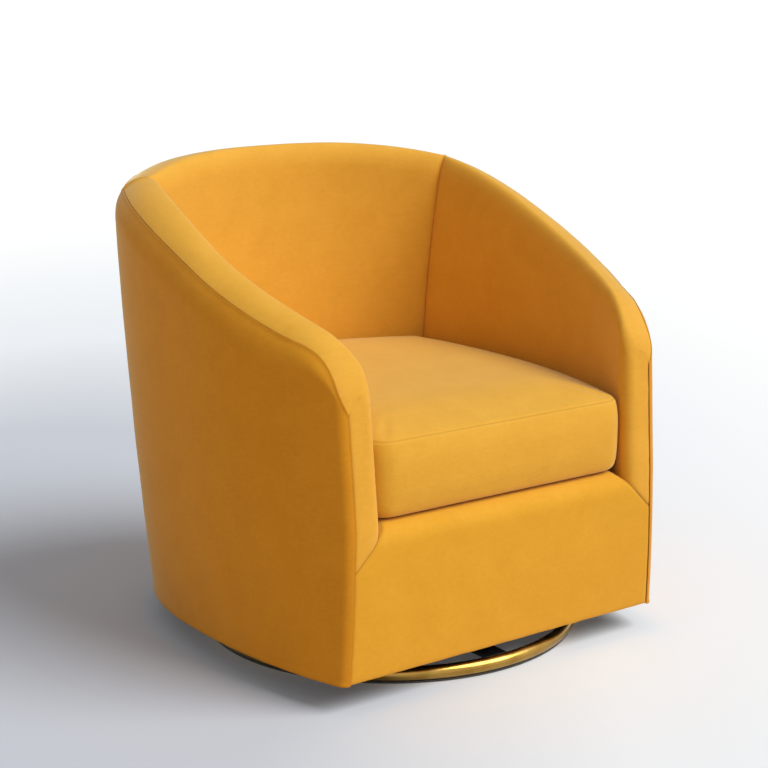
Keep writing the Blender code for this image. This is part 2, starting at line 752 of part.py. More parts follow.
def ball_ring():
    cage = turned("swivel_ball_ring",
                  [(RACE_RADIUS + CAGE_WIDTH / 2, BALL_Z + CAGE_THICKNESS / 2),
                   (RACE_RADIUS + CAGE_WIDTH / 2, BALL_Z - CAGE_THICKNESS / 2),
                   (RACE_RADIUS - CAGE_WIDTH / 2, BALL_Z - CAGE_THICKNESS / 2),
                   (RACE_RADIUS - CAGE_WIDTH / 2, BALL_Z + CAGE_THICKNESS / 2)], ZINC, 2 * BALL_COUNT)

    def build(made):
        for x, y in circle_points(RACE_RADIUS, BALL_COUNT):
            found = bmesh.ops.create_uvsphere(made, u_segments=8, v_segments=6, radius=BALL_RADIUS)
            bmesh.ops.translate(made, verts=found["verts"], vec=(x, y, BALL_Z))
    boolean(cage, add_cutter("cage_balls", mesh_from(build, "cage_balls")), "UNION")


def spun(name, place, profile, finish, steps=12):
    """A turned piece; its profile of (radius, height) starts and ends on its axis."""
    def build(made):
        x, y = place
        knots = [made.verts.new((x + radius, y, height)) for radius, height in profile]
        edges = [made.edges.new(pair) for pair in zip(knots, knots[1:])]
        bmesh.ops.spin(made, geom=knots + edges, cent=(x, y, 0), axis=(0, 0, 1), dvec=(0, 0, 0),
                       angle=math.tau, steps=steps, use_merge=True)
        bmesh.ops.remove_doubles(made, verts=made.verts, dist=GAP / 10)
    return add_object(name, mesh_from(build, name), finish)


def seat_bolts():
    """Four bolts with low round heads, up through the plate and the mounting boards."""
    head_z = UPPER_PLATE_Z - GAP
    tip = FRAME_Z + BOARD_THICKNESS
    back = head_z - BOLT_HEAD_HEIGHT
    profile = [(0, back), (BOLT_HEAD_RADIUS * BOLT_CROWN_SHARE, back),
               (BOLT_HEAD_RADIUS, (back + head_z) / 2), (BOLT_HEAD_RADIUS, head_z),
               (BOLT_RADIUS, head_z), (BOLT_RADIUS, tip), (0, tip)]
    for number, place in enumerate(bolt_places(), 1):
        spun("seat_bolt_%d" % number, place, profile, ZINC)


def base():
    base_ring()
    base_glide()
    base_spider()
    swivel_plate("swivel_lower_plate", LOWER_PLATE_Z, LOWER_RACE_Z)
    kingpin()


# Timber frame

def mounting_boards():
    half = BOARD_WIDTH / 2
    for word, middle in (("front", -PLATE_BOLT_SPACING / 2), ("back", PLATE_BOLT_SPACING / 2)):
        name = "mount_board_" + word
        reach = min(facet_x(y, z, FRAME_INSIDE) for y in (middle - half, middle + half)
                    for z in (FRAME_Z, FRAME_Z + BOARD_THICKNESS)) - GAP
        made = add_object(name, box(name, (-reach, middle - half, FRAME_Z),
                                    (reach, middle + half, FRAME_Z + BOARD_THICKNESS)), TIMBER)
        holes = cylinders(name + "_holes", bolt_places(), BOLT_RADIUS + GAP, FRAME_Z - OVERRUN,
                          FRAME_Z + BOARD_THICKNESS + OVERRUN, 12)
        boolean(made, add_cutter(name + "_holes", holes))


def front_boards():
    """The straight rails across the front, between the bent rail's ends and between the posts."""
    back = FRONT_Y + FRAME_FRONT + SEAT_RAIL_THICKNESS
    for name, low, high in (("front_bottom_rail", FRAME_Z, RAIL_TOP_Z),
                            ("front_seat_rail", SEAT_RAIL_TOP_Z - SEAT_RAIL_HEIGHT, SEAT_RAIL_TOP_Z)):
        reach = min(at(FRAME_NOSE[0], z, FRAME_INSIDE).x for z in (low, high)) - GAP
        add_object(name, box(name, (-reach, FRONT_Y + FRAME_FRONT, low), (reach, back, high)), TIMBER)


def posts():
    depths = (FRAME_DEPTH, FRAME_INSIDE)
    foot = level(RAIL_TOP_Z + GAP)
    for side, word in ((1, "right"), (-1, "left")):
        bent("front_post_" + word, FRAME_NOSE, depths, foot, below_rail, TIMBER, side)
        bent("back_post_" + word, HAUNCH[-2:] + CREASE + BACK[:2], depths, foot, below_rail, TIMBER, side)
    bent("back_slat", BACK[-2:], depths, foot, below_rail, TIMBER)


def bent_rails():
    bent("bottom_rail", FRAME_NOSE + ARM + HAUNCH + CREASE + BACK, (FRAME_DEPTH, FRAME_INSIDE),
         level(FRAME_Z), level(RAIL_TOP_Z), PLYWOOD)
    depths = (FRAME_DEPTH + TOP_RAIL_INSET, FRAME_INSIDE)
    for side, word in ((1, "right"), (-1, "left")):
        bent("arm_rail_" + word, FRAME_NOSE + ARM + HAUNCH + ARM_END, depths, rail_foot, rail_top, PLYWOOD, side)
    bent("back_top_rail", BACK_START + BACK, depths, rail_foot, rail_top, PLYWOOD)


def seat_rails():
    depths = (FRAME_INSIDE + GAP, FRAME_INSIDE + GAP + SEAT_RAIL_THICKNESS)
    low, high = level(SEAT_RAIL_TOP_Z - SEAT_RAIL_HEIGHT), level(SEAT_RAIL_TOP_Z)
    start = [("setback", FRAME_FRONT + SEAT_RAIL_THICKNESS + GAP)]
    for side, word in ((1, "right"), (-1, "left")):
        bent("seat_rail_" + word, start + ARM + HAUNCH + ARM_END, depths, low, high, PLYWOOD, side)
    bent("seat_rail_back", BACK_START + BACK, depths, low, high, PLYWOOD)


def corner_blocks():
    """Glued blocks in the two front corners of the seat frame."""
    z = SEAT_RAIL_TOP_Z - SEAT_RAIL_HEIGHT
    depth = FRAME_INSIDE + SEAT_RAIL_THICKNESS + 2 * GAP
    face = FRONT_Y + FRAME_FRONT + SEAT_RAIL_THICKNESS + GAP
    heights = (z, z + BLOCK_HEIGHT)
    corner = min(facet_x(face, height, depth) for height in heights) - GAP
    end = min(facet_x(face + BLOCK_LEG, height, depth) for height in heights) - GAP
    outline = [(corner - BLOCK_LEG, face), (corner, face), (end, face + BLOCK_LEG)]
    for side, word in ((1, "right"), (-1, "left")):
        name = "corner_block_" + word
        add_object(name, prism(name, outline, z, z + BLOCK_HEIGHT,
                               lambda u, v, w, s=side: Vector((s * u, v, w))), TIMBER)


# Springs and webbing

def spring_ends(x):
    """The wire's first and last crossing, over the middle of the front and back rails."""
    front = FRONT_Y + FRAME_FRONT + SEAT_RAIL_THICKNESS / 2
    depth = FRAME_INSIDE + GAP + SEAT_RAIL_THICKNESS / 2
    angle = math.pi / 2
    for _ in range(4):
        radius = back_radius(angle, SEAT_RAIL_TOP_Z) - depth
        angle = math.acos(x / radius)
    return front, radius * math.sin(angle)


def spring_columns():
    spacing = 2 * SPRING_SPREAD_SHARE * inner_x(0, WALL_MIDDLE, MIDDLE_LEAN_SHARE, DECK_TOP_Z) / SPRING_COUNT
    return [spacing * (k - (SPRING_COUNT - 1) / 2) for k in range(SPRING_COUNT)]


def seat_springs():
    """Zigzag springs, laid flat: the wire runs straight along the rail under each clip."""
    steps = SPRING_FACETS * SPRING_WAVES
    straight = CLIP_LENGTH / 2 + WIRE_RADIUS
    for number, x in enumerate(spring_columns(), 1):
        front, back = spring_ends(abs(x))
        points = [(x - straight, front, WIRE_Z), (x + straight, front, WIRE_Z)]
        for k in range(1, steps):
            turn = math.tau * k / SPRING_FACETS
            run = (turn - math.sin(2 * turn) / 2) / (math.tau * SPRING_WAVES)
            lift = (GAP + CLIP_THICKNESS) * math.sin(math.pi * k / steps)
            points.append((x + SPRING_HALF_WIDTH * math.sin(turn), mix(front, back, run), WIRE_Z + lift))
        points += [(x - straight, back, WIRE_Z), (x + straight, back, WIRE_Z)]
        wire_curve("seat_spring_%d" % number, points, WIRE_RADIUS, 0, SPRING_STEEL)


def spring_clips():
    """A bent strap over each end of each spring."""
    inner = WIRE_RADIUS + GAP
    outer = inner + CLIP_THICKNESS
    low = SEAT_RAIL_TOP_Z + GAP - WIRE_Z
    foot = low + CLIP_THICKNESS
    arch = [(math.cos(angle), math.sin(angle)) for angle in spread(math.pi, 0, 5)]
    outline = [(-2 * outer, low), (-inner, low)] + [(inner * u, inner * v) for u, v in arch]
    outline += [(inner, low), (2 * outer, low), (2 * outer, foot), (outer, foot)]
    outline += [(outer * u, outer * v) for u, v in reversed(arch)] + [(-outer, foot), (-2 * outer, foot)]
    for number, x in enumerate(spring_columns(), 1):
        for y, word in zip(spring_ends(abs(x)), ("front", "back")):
            name = "spring_clip_%s_%d" % (word, number)
            add_object(name, prism(name, outline, -CLIP_LENGTH / 2, CLIP_LENGTH / 2,
                                   lambda u, v, w, x=x, y=y: Vector((x + w, y + u, WIRE_Z + v))), ZINC)


def tie_wire():
    """A straight wire under the springs, between the side rails."""
    z = WIRE_Z - WIRE_RADIUS - GAP - TIE_RADIUS
    front, back = spring_ends(0)
    y = (front + back) / 2
    reach = facet_x(y, SEAT_RAIL_TOP_Z, FRAME_INSIDE + GAP + SEAT_RAIL_THICKNESS) - GAP
    wire_curve("spring_tie_wire", [(-reach, y, z), (0, y, z), (reach, y, z)], TIE_RADIUS, 1, SPRING_STEEL)


def back_webbing():
    low_z, high_z = PAD_FOOT_Z, rail_foot(CREASE[0])
    depths = (FRAME_INSIDE + GAP, FRAME_INSIDE + GAP + BACKING)
    for share, word in zip(WEB_HEIGHT_SHARES, ("low", "middle", "high")):
        middle = mix(low_z, high_z, share)
        bent("back_web_" + word, BACK_START + BACK, depths, level(middle - WEB_WIDTH / 2),
             level(middle + WEB_WIDTH / 2), WEBBING)


def arm_boards():
    """Thin boards behind the arm padding, from the front posts to the back posts."""
    depths = (FRAME_INSIDE + GAP, FRAME_INSIDE + GAP + BACKING)
    for side, word in ((1, "right"), (-1, "left")):
        bent("arm_board_" + word, FRAME_NOSE + ARM + HAUNCH + ARM_END, depths, level(PAD_FOOT_Z + GAP),
             board_top, PLYWOOD, side)


# Covers

def pad_loop(station, foot):
    """The padded wall in section: up behind the outside cover, over the rim and down the inside."""
    kind, value = station
    skin = SKIN + GAP if value > 0 else 0
    seam = seam_angle(station) + GAP / NOSE_ROLL
    rows = [foot] + [z for z in pad_rows(station) if z > foot]
    clearance = GAP
    if kind == "setback" and 0 < value < FRONT_CORNER_RADIUS:
        clearance += CORNER_RELIEF * (1 - value / FRONT_CORNER_RADIUS)
    depth = skin + corner_inset(station, skin) + clearance
    loop = [at(station, z, depth) for z in rows]
    loop += [rolled(station, angle, skin, clearance) for angle in spread(0, seam, COVER_FACETS)]
    loop += [rolled(station, angle) for angle in spread(seam, math.pi / 2, RIM_FACETS)]
    loop += [rolled_inside(station, angle) for angle in spread(math.pi / 2, 0, COVER_FACETS + RIM_FACETS)[1:]]
    loop += [at(station, z, wall(station, z)) for z in reversed(rows)]
    return loop


def cover_loop(station):
    """The outside cover in section; at the arm front its inner face turns the corner on a smaller radius."""
    kind, value = station
    deeper = station
    if kind == "setback" and value < FRONT_CORNER_RADIUS:
        deeper = (kind, mix(SKIN, FRONT_CORNER_RADIUS, value / FRONT_CORNER_RADIUS))
    depth = SKIN + corner_inset(deeper, SKIN)
    outside = [at(station, z) for z in pad_rows(station)]
    outside += [rolled(station, angle) for angle in spread(0, seam_angle(station), COVER_FACETS)]
    inside = [at(deeper, z, depth) for z in pad_rows(deeper)]
    inside += [rolled(deeper, angle, SKIN) for angle in spread(0, seam_angle(station), COVER_FACETS)]
    return outside + inside[::-1]


def outside_cover():
    sections = [cover_loop(station) for station in NOSE + ARM + HAUNCH + CREASE + BACK]
    made = add_object("outside_cover", loft("outside_cover", both_sides(sections), True), CLOTH)
    smooth_edges(made.data)


def frame_zone():
    """The room for the frame, from below the pads up to the padding over the rails."""
    low = MITRE_SIDE_Z - OVERRUN
    sections = []
    for station in [("setback", FRONT_PAD)] + FRAME_NOSE[1:] + ARM + HAUNCH + CREASE + BACK:
        top = crest_z(station) - TOP_PAD
        rows = [low] + within(frame_rows(station), low, top - GAP) + [top]
        sections.append([at(station, z, SKIN / 2) for z in rows]
                        + [at(station, z, PAD_DEPTH) for z in reversed(rows)])
    return add_cutter("frame_zone", loft("frame_zone", both_sides(sections), True))


def seam_x(z):
    return outer_plan(("setback", 0), z).x


def border_outline():
    """The border as seen from the front: seams up the sides, then a mitre to each arm."""
    side = [(seam_x(z) - GAP, z) for z in spread(HEM_Z, MITRE_SIDE_Z, 5)]
    foot = [(side[0][0], HEM_Z - OVERRUN)]
    top = [(side[-1][0] - (DECK_TOP_Z - MITRE_SIDE_Z), DECK_TOP_Z)]
    right = foot + side[1:] + top
    return right + [(-x, z) for x, z in reversed(right)]


def border_profile():
    """The border from the side: the front face with its undercut, rolled back over the rail."""
    front = [(at(("setback", 0), z).y, z) for z in spread(HEM_Z, DECK_TOP_Z - BORDER_ROLL, 6)]
    middle_y, middle_z = FRONT_Y + BORDER_ROLL, DECK_TOP_Z - BORDER_ROLL
    for k in range(1, 6):
        angle = math.pi / 2 * k / 5
        front.append((middle_y - BORDER_ROLL * math.cos(angle), middle_z + BORDER_ROLL * math.sin(angle)))
    back = FRONT_Y + BORDER_TOP_DEPTH + FRONT_PAD
    inside = FRONT_Y + FRONT_PAD
    return front + [(back, DECK_TOP_Z), (back, PAD_FOOT_Z), (inside, PAD_FOOT_Z), (inside, HEM_Z)]


def front_border():
    width = seam_x(MITRE_SIDE_Z) + OVERRUN
    made = add_object("front_border", prism("front_border", border_profile(), -width, width,
                                            lambda u, v, w: Vector((w, u, v))), CLOTH)
    limit = prism("border_limit", border_outline(), FRONT_Y - OVERRUN, FRONT_Y + BORDER_TOP_DEPTH + OVERRUN * 2,
                  lambda u, v, w: Vector((u, w, v)))
    boolean(made, add_cutter("border_limit", limit), "INTERSECT")


def border_zone():
    """What the border takes from the arm fronts, with its clearance."""
    rise = GAP * math.sqrt(2)
    side_x_low = seam_x(MITRE_SIDE_Z) + 2 * OVERRUN
    half = [(side_x_low, HEM_Z - OVERRUN), (side_x_low, MITRE_SIDE_Z - 2 * OVERRUN + rise),
            (seam_x(MITRE_SIDE_Z) - (DECK_TOP_Z - MITRE_SIDE_Z), DECK_TOP_Z + rise)]
    outline = half + [(-x, z) for x, z in reversed(half)]
    mesh = prism("border_zone", outline, FRONT_Y - OVERRUN, FRONT_Y + BORDER_TOP_DEPTH + FRONT_PAD + GAP,
                 lambda u, v, w: Vector((u, w, v)))
    return add_cutter("border_zone", mesh)


def foot_zone():
    """Everything below the pads' feet, behind the arm fronts."""
    reach = TOP_HALF_WIDTH + OVERRUN
    low = (-reach, FRONT_Y + FRONT_PAD, MITRE_SIDE_Z - 2 * OVERRUN)
    high = (reach, TOP_BACK_REACH + OVERRUN, PAD_FOOT_Z)
    return add_cutter("foot_zone", box("foot_zone", low, high))


def padded_covers():
    zones = (frame_zone(), border_zone(), foot_zone())
    foot = MITRE_SIDE_Z - OVERRUN / 2
    sections = [pad_loop(station, foot) for station in NOSE + ARM + HAUNCH + ARM_END]
    for side, word in ((1, "right"), (-1, "left")):
        name = "arm_cover_" + word
        made = add_object(name, loft(name, one_side(sections, side), True), CLOTH)
        for zone in zones:
            boolean(made, zone)
    back = [pad_loop(station, foot) for station in BACK_START + BACK]
    made = add_object("inside_back_cover", loft("inside_back_cover", both_sides(back), True), CLOTH)
    for zone in (zones[0], zones[2]):
        boolean(made, zone)


# Seat deck, dust cover and cushion

def cushion_side(z, clearance, front, corner):
    """Half a plan that fills the space between the arms, from the front middle to the back middle."""
    corner_y = front + corner
    corner_x = inner_plan(("setback", setback_at(corner_y, z)), z).x - clearance
    points = [Vector((share * (corner_x - corner), front)) for share in CUSHION_FRONT_SHARES]
    for k in range(5):
        angle = math.pi / 2 * (1 - k / 4)
        points.append(Vector((corner_x - corner * (1 - math.cos(angle)), corner_y - corner * math.sin(angle))))
    for station in ARM + HAUNCH + BACK:
        points.append(inner_plan(station, z) + inward(station, z) * (clearance + crease_pull(station, z)))
    return points


def full_outline(half):
    return half + [Vector((-point.x, point.y)) for point in reversed(half[1:-1])]


def seat_deck():
    """A firm felt pad over the springs, between the padded walls."""
    def edge(station):
        depth = GAP + crease_pull(station, PAD_FOOT_Z)
        return inner_plan(station, PAD_FOOT_Z) + inward(station, PAD_FOOT_Z) * depth

    front = FRONT_Y + BORDER_TOP_DEPTH + FRONT_PAD + GAP
    before, after = edge(NOSE[-1]), edge(ARM[0])
    corner = before.lerp(after, (front - before.y) / (after.y - before.y))
    half = [Vector((0, front)), corner] + [edge(station) for station in ARM + HAUNCH + BACK]
    outline = [(point.x, point.y) for point in full_outline(half)]
    add_object("seat_deck", prism("seat_deck", outline, PAD_FOOT_Z, DECK_TOP_Z,
                                  lambda u, v, w: Vector((u, v, w))), FELT)


def dust_cover():
    """Black cloth stapled under the rails, with the swivel's top plate bolted over it."""
    half = [Vector((0, FRONT_Y + FRONT_PAD + GAP))]
    for station in FRAME_NOSE + ARM + HAUNCH + CREASE + BACK:
        half.append(at(station, DUST_Z, FRAME_DEPTH))
    outline = [(point.x, point.y) for point in full_outline(half)]
    made = add_object("dust_cover", prism("dust_cover", outline, DUST_Z, DUST_Z + DUST_THICKNESS,
                                          lambda u, v, w: Vector((u, v, w))), DUST_CLOTH)
    for name, places, radius in (("kingpin_room", [(0, 0)], KINGPIN_HEAD_RADIUS + KINGPIN_ROOM),
                                 ("dust_bolt_holes", bolt_places(), BOLT_RADIUS + GAP)):
        boolean(made, add_cutter(name, cylinders(name, places, radius, DUST_Z - OVERRUN, DUST_Z + OVERRUN)))


def seat_cushion():
    """Boxing drawn in at both seams, bowed between them, under a crowned top."""
    front = FRONT_Y + CUSHION_SETBACK

    back = TOP_BACK_REACH - WALL_BACK
    middle = Vector((0, (front + back) / 2))

    def thickness(y):
        share = min(max((y - front) / (back - front), 0), 1)
        return mix(CUSHION_FRONT_THICKNESS, CUSHION_BACK_THICKNESS, share)

    def ring(height_share, inset, shrink=0, rise=0):
        level_z = CUSHION_Z + CUSHION_FRONT_THICKNESS * height_share
        half = cushion_side(level_z, CUSHION_CLEARANCE + inset, front + inset, CUSHION_CORNER)
        spots = [point.lerp(middle, shrink) for point in full_outline(half)]
        return [(spot.x, spot.y, CUSHION_Z + thickness(spot.y) * height_share + rise) for spot in spots]

    rings = [ring(0, CUSHION_FOOT_INSET, shrink) for shrink in CUSHION_FOOT_SHARES]
    rings += [ring(share, CUSHION_SEAM_INSET * inset) for share, inset in CUSHION_BOXING_SHARES]
    for shrink in CUSHION_CROWN_SHARES:
        bow = math.sqrt(1 - (1 - shrink)**4)
        rings.append(ring(1, CUSHION_SEAM_INSET, shrink, CUSHION_CROWN * bow))
    made = add_object("seat_cushion", loft("seat_cushion", rings), CUSHION_CLOTH)
    made.data.shade_smooth()


base()
ball_ring()
swivel_plate("swivel_upper_plate", UPPER_PLATE_Z, UPPER_RACE_Z)
seat_bolts()
mounting_boards()
bent_rails()
front_boards()
posts()
seat_rails()
corner_blocks()
seat_springs()
spring_clips()
tie_wire()
back_webbing()
arm_boards()
padded_covers()
outside_cover()
front_border()
seat_deck()
dust_cover()
seat_cushion()
for thing in list(CHAIR.objects) + list(CUTTERS.objects):
    thing.location.y += SWIVEL_Y
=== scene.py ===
# Swivel barrel chair, dressed: yellow velvet over foam, on a brass-plated ring.
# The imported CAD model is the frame; the soft covers and the cushion are made here and ride on its bodies.
import json
import math

import bmesh
import bpy
from mathutils import Matrix, Vector, noise


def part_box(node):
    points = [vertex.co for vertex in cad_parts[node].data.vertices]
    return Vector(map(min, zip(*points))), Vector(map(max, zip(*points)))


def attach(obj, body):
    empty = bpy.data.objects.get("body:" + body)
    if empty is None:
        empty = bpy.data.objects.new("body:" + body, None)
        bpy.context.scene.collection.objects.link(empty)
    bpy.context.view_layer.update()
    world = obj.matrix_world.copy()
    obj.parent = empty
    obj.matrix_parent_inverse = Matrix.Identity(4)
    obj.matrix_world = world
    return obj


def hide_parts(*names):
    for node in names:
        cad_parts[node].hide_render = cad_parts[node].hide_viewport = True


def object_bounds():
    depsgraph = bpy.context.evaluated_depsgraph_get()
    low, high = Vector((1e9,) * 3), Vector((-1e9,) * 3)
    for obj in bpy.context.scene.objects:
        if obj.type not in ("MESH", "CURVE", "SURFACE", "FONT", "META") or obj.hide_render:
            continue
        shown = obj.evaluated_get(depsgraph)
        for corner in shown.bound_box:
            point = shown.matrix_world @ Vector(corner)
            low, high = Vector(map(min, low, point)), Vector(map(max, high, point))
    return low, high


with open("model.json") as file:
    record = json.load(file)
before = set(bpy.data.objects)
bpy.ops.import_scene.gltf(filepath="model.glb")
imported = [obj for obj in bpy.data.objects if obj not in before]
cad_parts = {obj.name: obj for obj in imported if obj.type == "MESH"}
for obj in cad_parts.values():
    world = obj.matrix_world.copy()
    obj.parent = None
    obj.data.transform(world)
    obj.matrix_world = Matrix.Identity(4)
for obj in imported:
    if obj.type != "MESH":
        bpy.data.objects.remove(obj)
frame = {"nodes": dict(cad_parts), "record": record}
nodes = frame["nodes"]
cadLow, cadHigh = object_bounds()
scene = bpy.context.scene
print("stage: frame loaded")


def addToScene(name, data):
    thing = bpy.data.objects.new(name, data)
    scene.collection.objects.link(thing)
    return thing


# Camera, at the photograph's angle

camera = {"place": (-1.7137, -2.3560, 1.0497), "tilt": 0.2230356, "turn": -0.6357088, "lens": 84.375}
lens = bpy.data.cameras.new("camera")
cameraObject = addToScene("camera", lens)
cameraObject.location = camera["place"]
cameraObject.rotation_euler = (math.pi / 2 - camera["tilt"], 0, camera["turn"])
lens.sensor_width = 36
lens.lens = camera["lens"]
scene.camera = cameraObject


# Shape of the upholstered shell, in metres about the swivel axis. A place along it is ("arm", how far behind
# the front face) or ("back", the angle round the axis from +X).

swivelY = frame["record"]["behaviour"]["joints"][0]["pos_m"][1]
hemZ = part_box("outside_cover")[0][2]
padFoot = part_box("seat_deck")[0][2]
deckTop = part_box("seat_deck")[1][2]
backTop = cadHigh[2]

shell = {
    "frontReach": 0.312, "hemHalf": 0.3568, "topHalf": 0.3944, "hemNarrowing": 0.0481, "topNarrowing": 0.1023,
    "hemBack": 0.4023, "topBack": 0.410, "hemSquareness": 2.54, "topSquareness": 3.03, "bow": 0.123,
    "undercut": 0.006, "undercutHeight": 0.17, "undercutDepth": 0.10, "rake": 0.0196,
    "outerCorner": 0.010, "innerCorner": 0.0246, "skin": 0.0065, "padDepth": 0.0366, "frontPad": 0.020,
    "cornerRoom": 0.0045,
}
rim = {
    "armCrest": 0.525, "riseShares": (0.3434, 0.3412, 0.0592, -0.4835), "noseLength": 0.0763,
    "noseHeight": 0.0578, "outerRoll": 0.0639, "innerRoll": 0.039, "noseRoll": 0.0278, "blend": 0.12,
    "split": 0.798, "topPad": 0.046, "rollFoot": 1.15, "seamFront": math.radians(12),
    "seamRoll": math.radians(43), "seamBlend": 0.06,
}
inside = {
    "wallFront": 0.0689, "wallBackset": 0.032, "wallMiddle": 0.085, "wallCrease": 0.077, "wallBack": 0.0822,
    "frontLean": 0.0045, "middleLean": 0.0578, "creaseAngle": math.radians(44),
    "creaseLean": math.radians(5.94), "creasePull": 0.008, "creaseRound": 0.016,
}
gap = 0.0003
frontY = -shell["frontReach"]
nearSeam = (0.001, 0.0022, 0.0038, 0.0062, 0.010)  # how far from a seam the finer rows of a cover lie
pastHem, pastSeam = 0.018, 0.017  # and where its plain rows go on from the hem and from the seam


def mix(first, second, share):
    return first + (second - first) * share


def spread(low, high, count):
    return [mix(low, high, k / (count - 1)) for k in range(count)]


def flare(z):
    share = (z - hemZ) / (backTop - hemZ)
    return share + shell["bow"] * 4 * share * (1 - share)


def armY(place, z):  # the arm fronts lean back above the seat
    rise = max(z - deckTop, 0) / (rim["armCrest"] - deckTop)
    return frontY + place[1] + shell["rake"] * rise * (1 - place[1] / shell["frontReach"])


def setbackAt(y, z):
    lean = shell["rake"] * max(z - deckTop, 0) / (rim["armCrest"] - deckTop)
    return (y - frontY - lean) / (1 - lean / shell["frontReach"])


def quarter(distance, radius):  # how far a rounded edge still stands back, at this distance from its start
    if distance >= radius:
        return 0
    return radius - math.sqrt(radius**2 - (radius - distance)**2)


def sideX(y, z):
    narrowing = mix(shell["hemNarrowing"], shell["topNarrowing"], flare(z))
    return mix(shell["hemHalf"], shell["topHalf"], flare(z)) - narrowing * (y / shell["frontReach"])**2


def backRadius(angle, z):
    width = mix(shell["hemHalf"], shell["topHalf"], flare(z))
    reach = mix(shell["hemBack"], shell["topBack"], flare(z))
    power = mix(shell["hemSquareness"], shell["topSquareness"], flare(z))
    return ((math.cos(angle) / width)**power + (abs(math.sin(angle)) / reach)**power)**(-1 / power)


def leaned(place, z):  # the crease between arm and back leans forward as it rises, and its neighbours with it
    angle, crease = place[1], inside["creaseAngle"]
    span = crease if angle < crease else math.pi / 2 - crease
    rise = max(z - deckTop, 0) / (backTop - deckTop)
    return angle - inside["creaseLean"] * (1 - abs(angle - crease) / span) * rise**2


def outerPlan(place, z):
    if place[0] == "back":
        angle = leaned(place, z)
        return Vector((math.cos(angle), math.sin(angle))) * backRadius(angle, z)
    y = armY(place, z)
    return Vector((sideX(y, z) - quarter(place[1], shell["outerCorner"]), y))


def inward(place, z):
    if place[0] == "back":
        angle = leaned(place, z)
        return Vector((-math.cos(angle), -math.sin(angle)))
    return Vector((-1, 0))


def innerX(y, wall, lean, z):
    return sideX(y, deckTop) - wall + lean * (z - deckTop)


def creasePull(place, z):  # the covers draw in towards the crease
    if place[0] != "back":
        return 0
    crease = inside["creaseAngle"]
    distance = abs(place[1] - crease) * (backRadius(crease, z) - inside["wallCrease"])
    return inside["creasePull"] * quarter(distance, inside["creaseRound"]) / inside["creaseRound"]


def bowReach(middle, bend, slope):
    return 2 * middle / (1 + math.sqrt(1 + 4 * bend * slope**2 * middle))


def innerPlan(place, z):  # the face towards the sitter: two shallow bows that meet in a crease
    middleX = innerX(0, inside["wallMiddle"], inside["middleLean"], z)
    if place[0] == "arm":
        y = armY(place, z)
        span = shell["frontReach"] - inside["wallBackset"]
        x = middleX - (middleX - innerX(-span, inside["wallFront"], inside["frontLean"], z)) * (y / span)**2
        return Vector((x + quarter(place[1], shell["innerCorner"]), y))
    angle = leaned(place, z)
    crease = leaned(("back", inside["creaseAngle"]), z)
    creaseRadius = backRadius(crease, z) - inside["wallCrease"]
    creaseX, creaseY = creaseRadius * math.cos(crease), creaseRadius * math.sin(crease)
    if place[1] < inside["creaseAngle"]:
        radius = bowReach(middleX, (middleX - creaseX) / creaseY**2, math.tan(angle)) / math.cos(angle)
    else:
        middleY = mix(shell["hemBack"], shell["topBack"], flare(z)) - inside["wallBack"]
        slope = math.cos(angle) / math.sin(angle)
        radius = bowReach(middleY, (middleY - creaseY) / creaseX**2, slope) / math.sin(angle)
    return Vector((math.cos(angle), math.sin(angle))) * (radius + creasePull(place, z))


def crestZ(place):
    if place[0] == "arm":
        y = frontY + place[1]
        fall = rim["noseHeight"] * quarter(place[1], rim["noseLength"]) / rim["noseLength"]
    else:
        angle = leaned(place, backTop)
        y = backRadius(angle, backTop) * math.sin(angle)
        fall = 0
    share = (y - frontY) / (shell["topBack"] + shell["frontReach"])
    side = 2 * share - 1
    bend = sum(part * side**power for power, part in enumerate(rim["riseShares"]))
    return mix(rim["armCrest"], backTop, share + share * (1 - share) * bend) - fall


def rollHeight(place, full):  # the roll grows from the nose to its full height
    if place[0] == "back":
        return full
    share = min(place[1] / rim["blend"], 1)
    return mix(rim["noseRoll"], full, share * share * (3 - 2 * share))


def seamAngle(place):
    left = 0 if place[0] == "back" else max(1 - place[1] / rim["seamBlend"], 0)
    return mix(rim["seamRoll"], rim["seamFront"], left**3)


def wallAt(place, z):
    return (innerPlan(place, z) - outerPlan(place, z)).length


def at(place, z, depth=0):  # a point this deep inside the outside face
    point = outerPlan(place, z) + inward(place, z) * depth
    y = point.y
    if place[0] == "arm" and place[1] < shell["undercutDepth"] and z < hemZ + shell["undercutHeight"]:
        drop = 1 - (z - hemZ) / shell["undercutHeight"]
        y += shell["undercut"] * drop**2 * (1 - place[1] / shell["undercutDepth"])**2
    return Vector((point.x, y, z))


def cornerInset(place, skin):
    if place[0] == "back":
        return 0
    radius = shell["outerCorner"]
    return quarter(max(place[1] - skin, 0), radius - skin) - quarter(place[1], radius)


def rolled(place, angle, skin=0, room=0):  # outer half of the roll, 90 degrees at the crest
    height = rollHeight(place, rim["outerRoll"])
    z = crestZ(place) - height + (height - skin) * math.sin(angle)
    half = wallAt(place, crestZ(place)) * rim["split"]
    return at(place, z, mix(half, skin, math.cos(angle)) + cornerInset(place, skin) + room)


def rolledInside(place, angle):
    height = rollHeight(place, rim["innerRoll"])
    z = crestZ(place) - height + height * math.sin(angle)
    half = wallAt(place, crestZ(place)) * (1 - rim["split"])
    return at(place, z, wallAt(place, z) - half * (1 - math.cos(angle)))


# Places along the shell, closer together round the arm front's corner and nose and beside the crease

spacing = {"cornerTurns": (0, 90, 8), "noseTurns": (49, 90, 6), "arm": 28, "haunch": 38, "back": 36,
           "besideCrease": (0.012, 0.005)}


def rounded(radius, turns):  # setbacks round a rounded edge, one for each turn in degrees
    return [radius * (1 - math.cos(math.radians(turn))) for turn in range(*turns)]


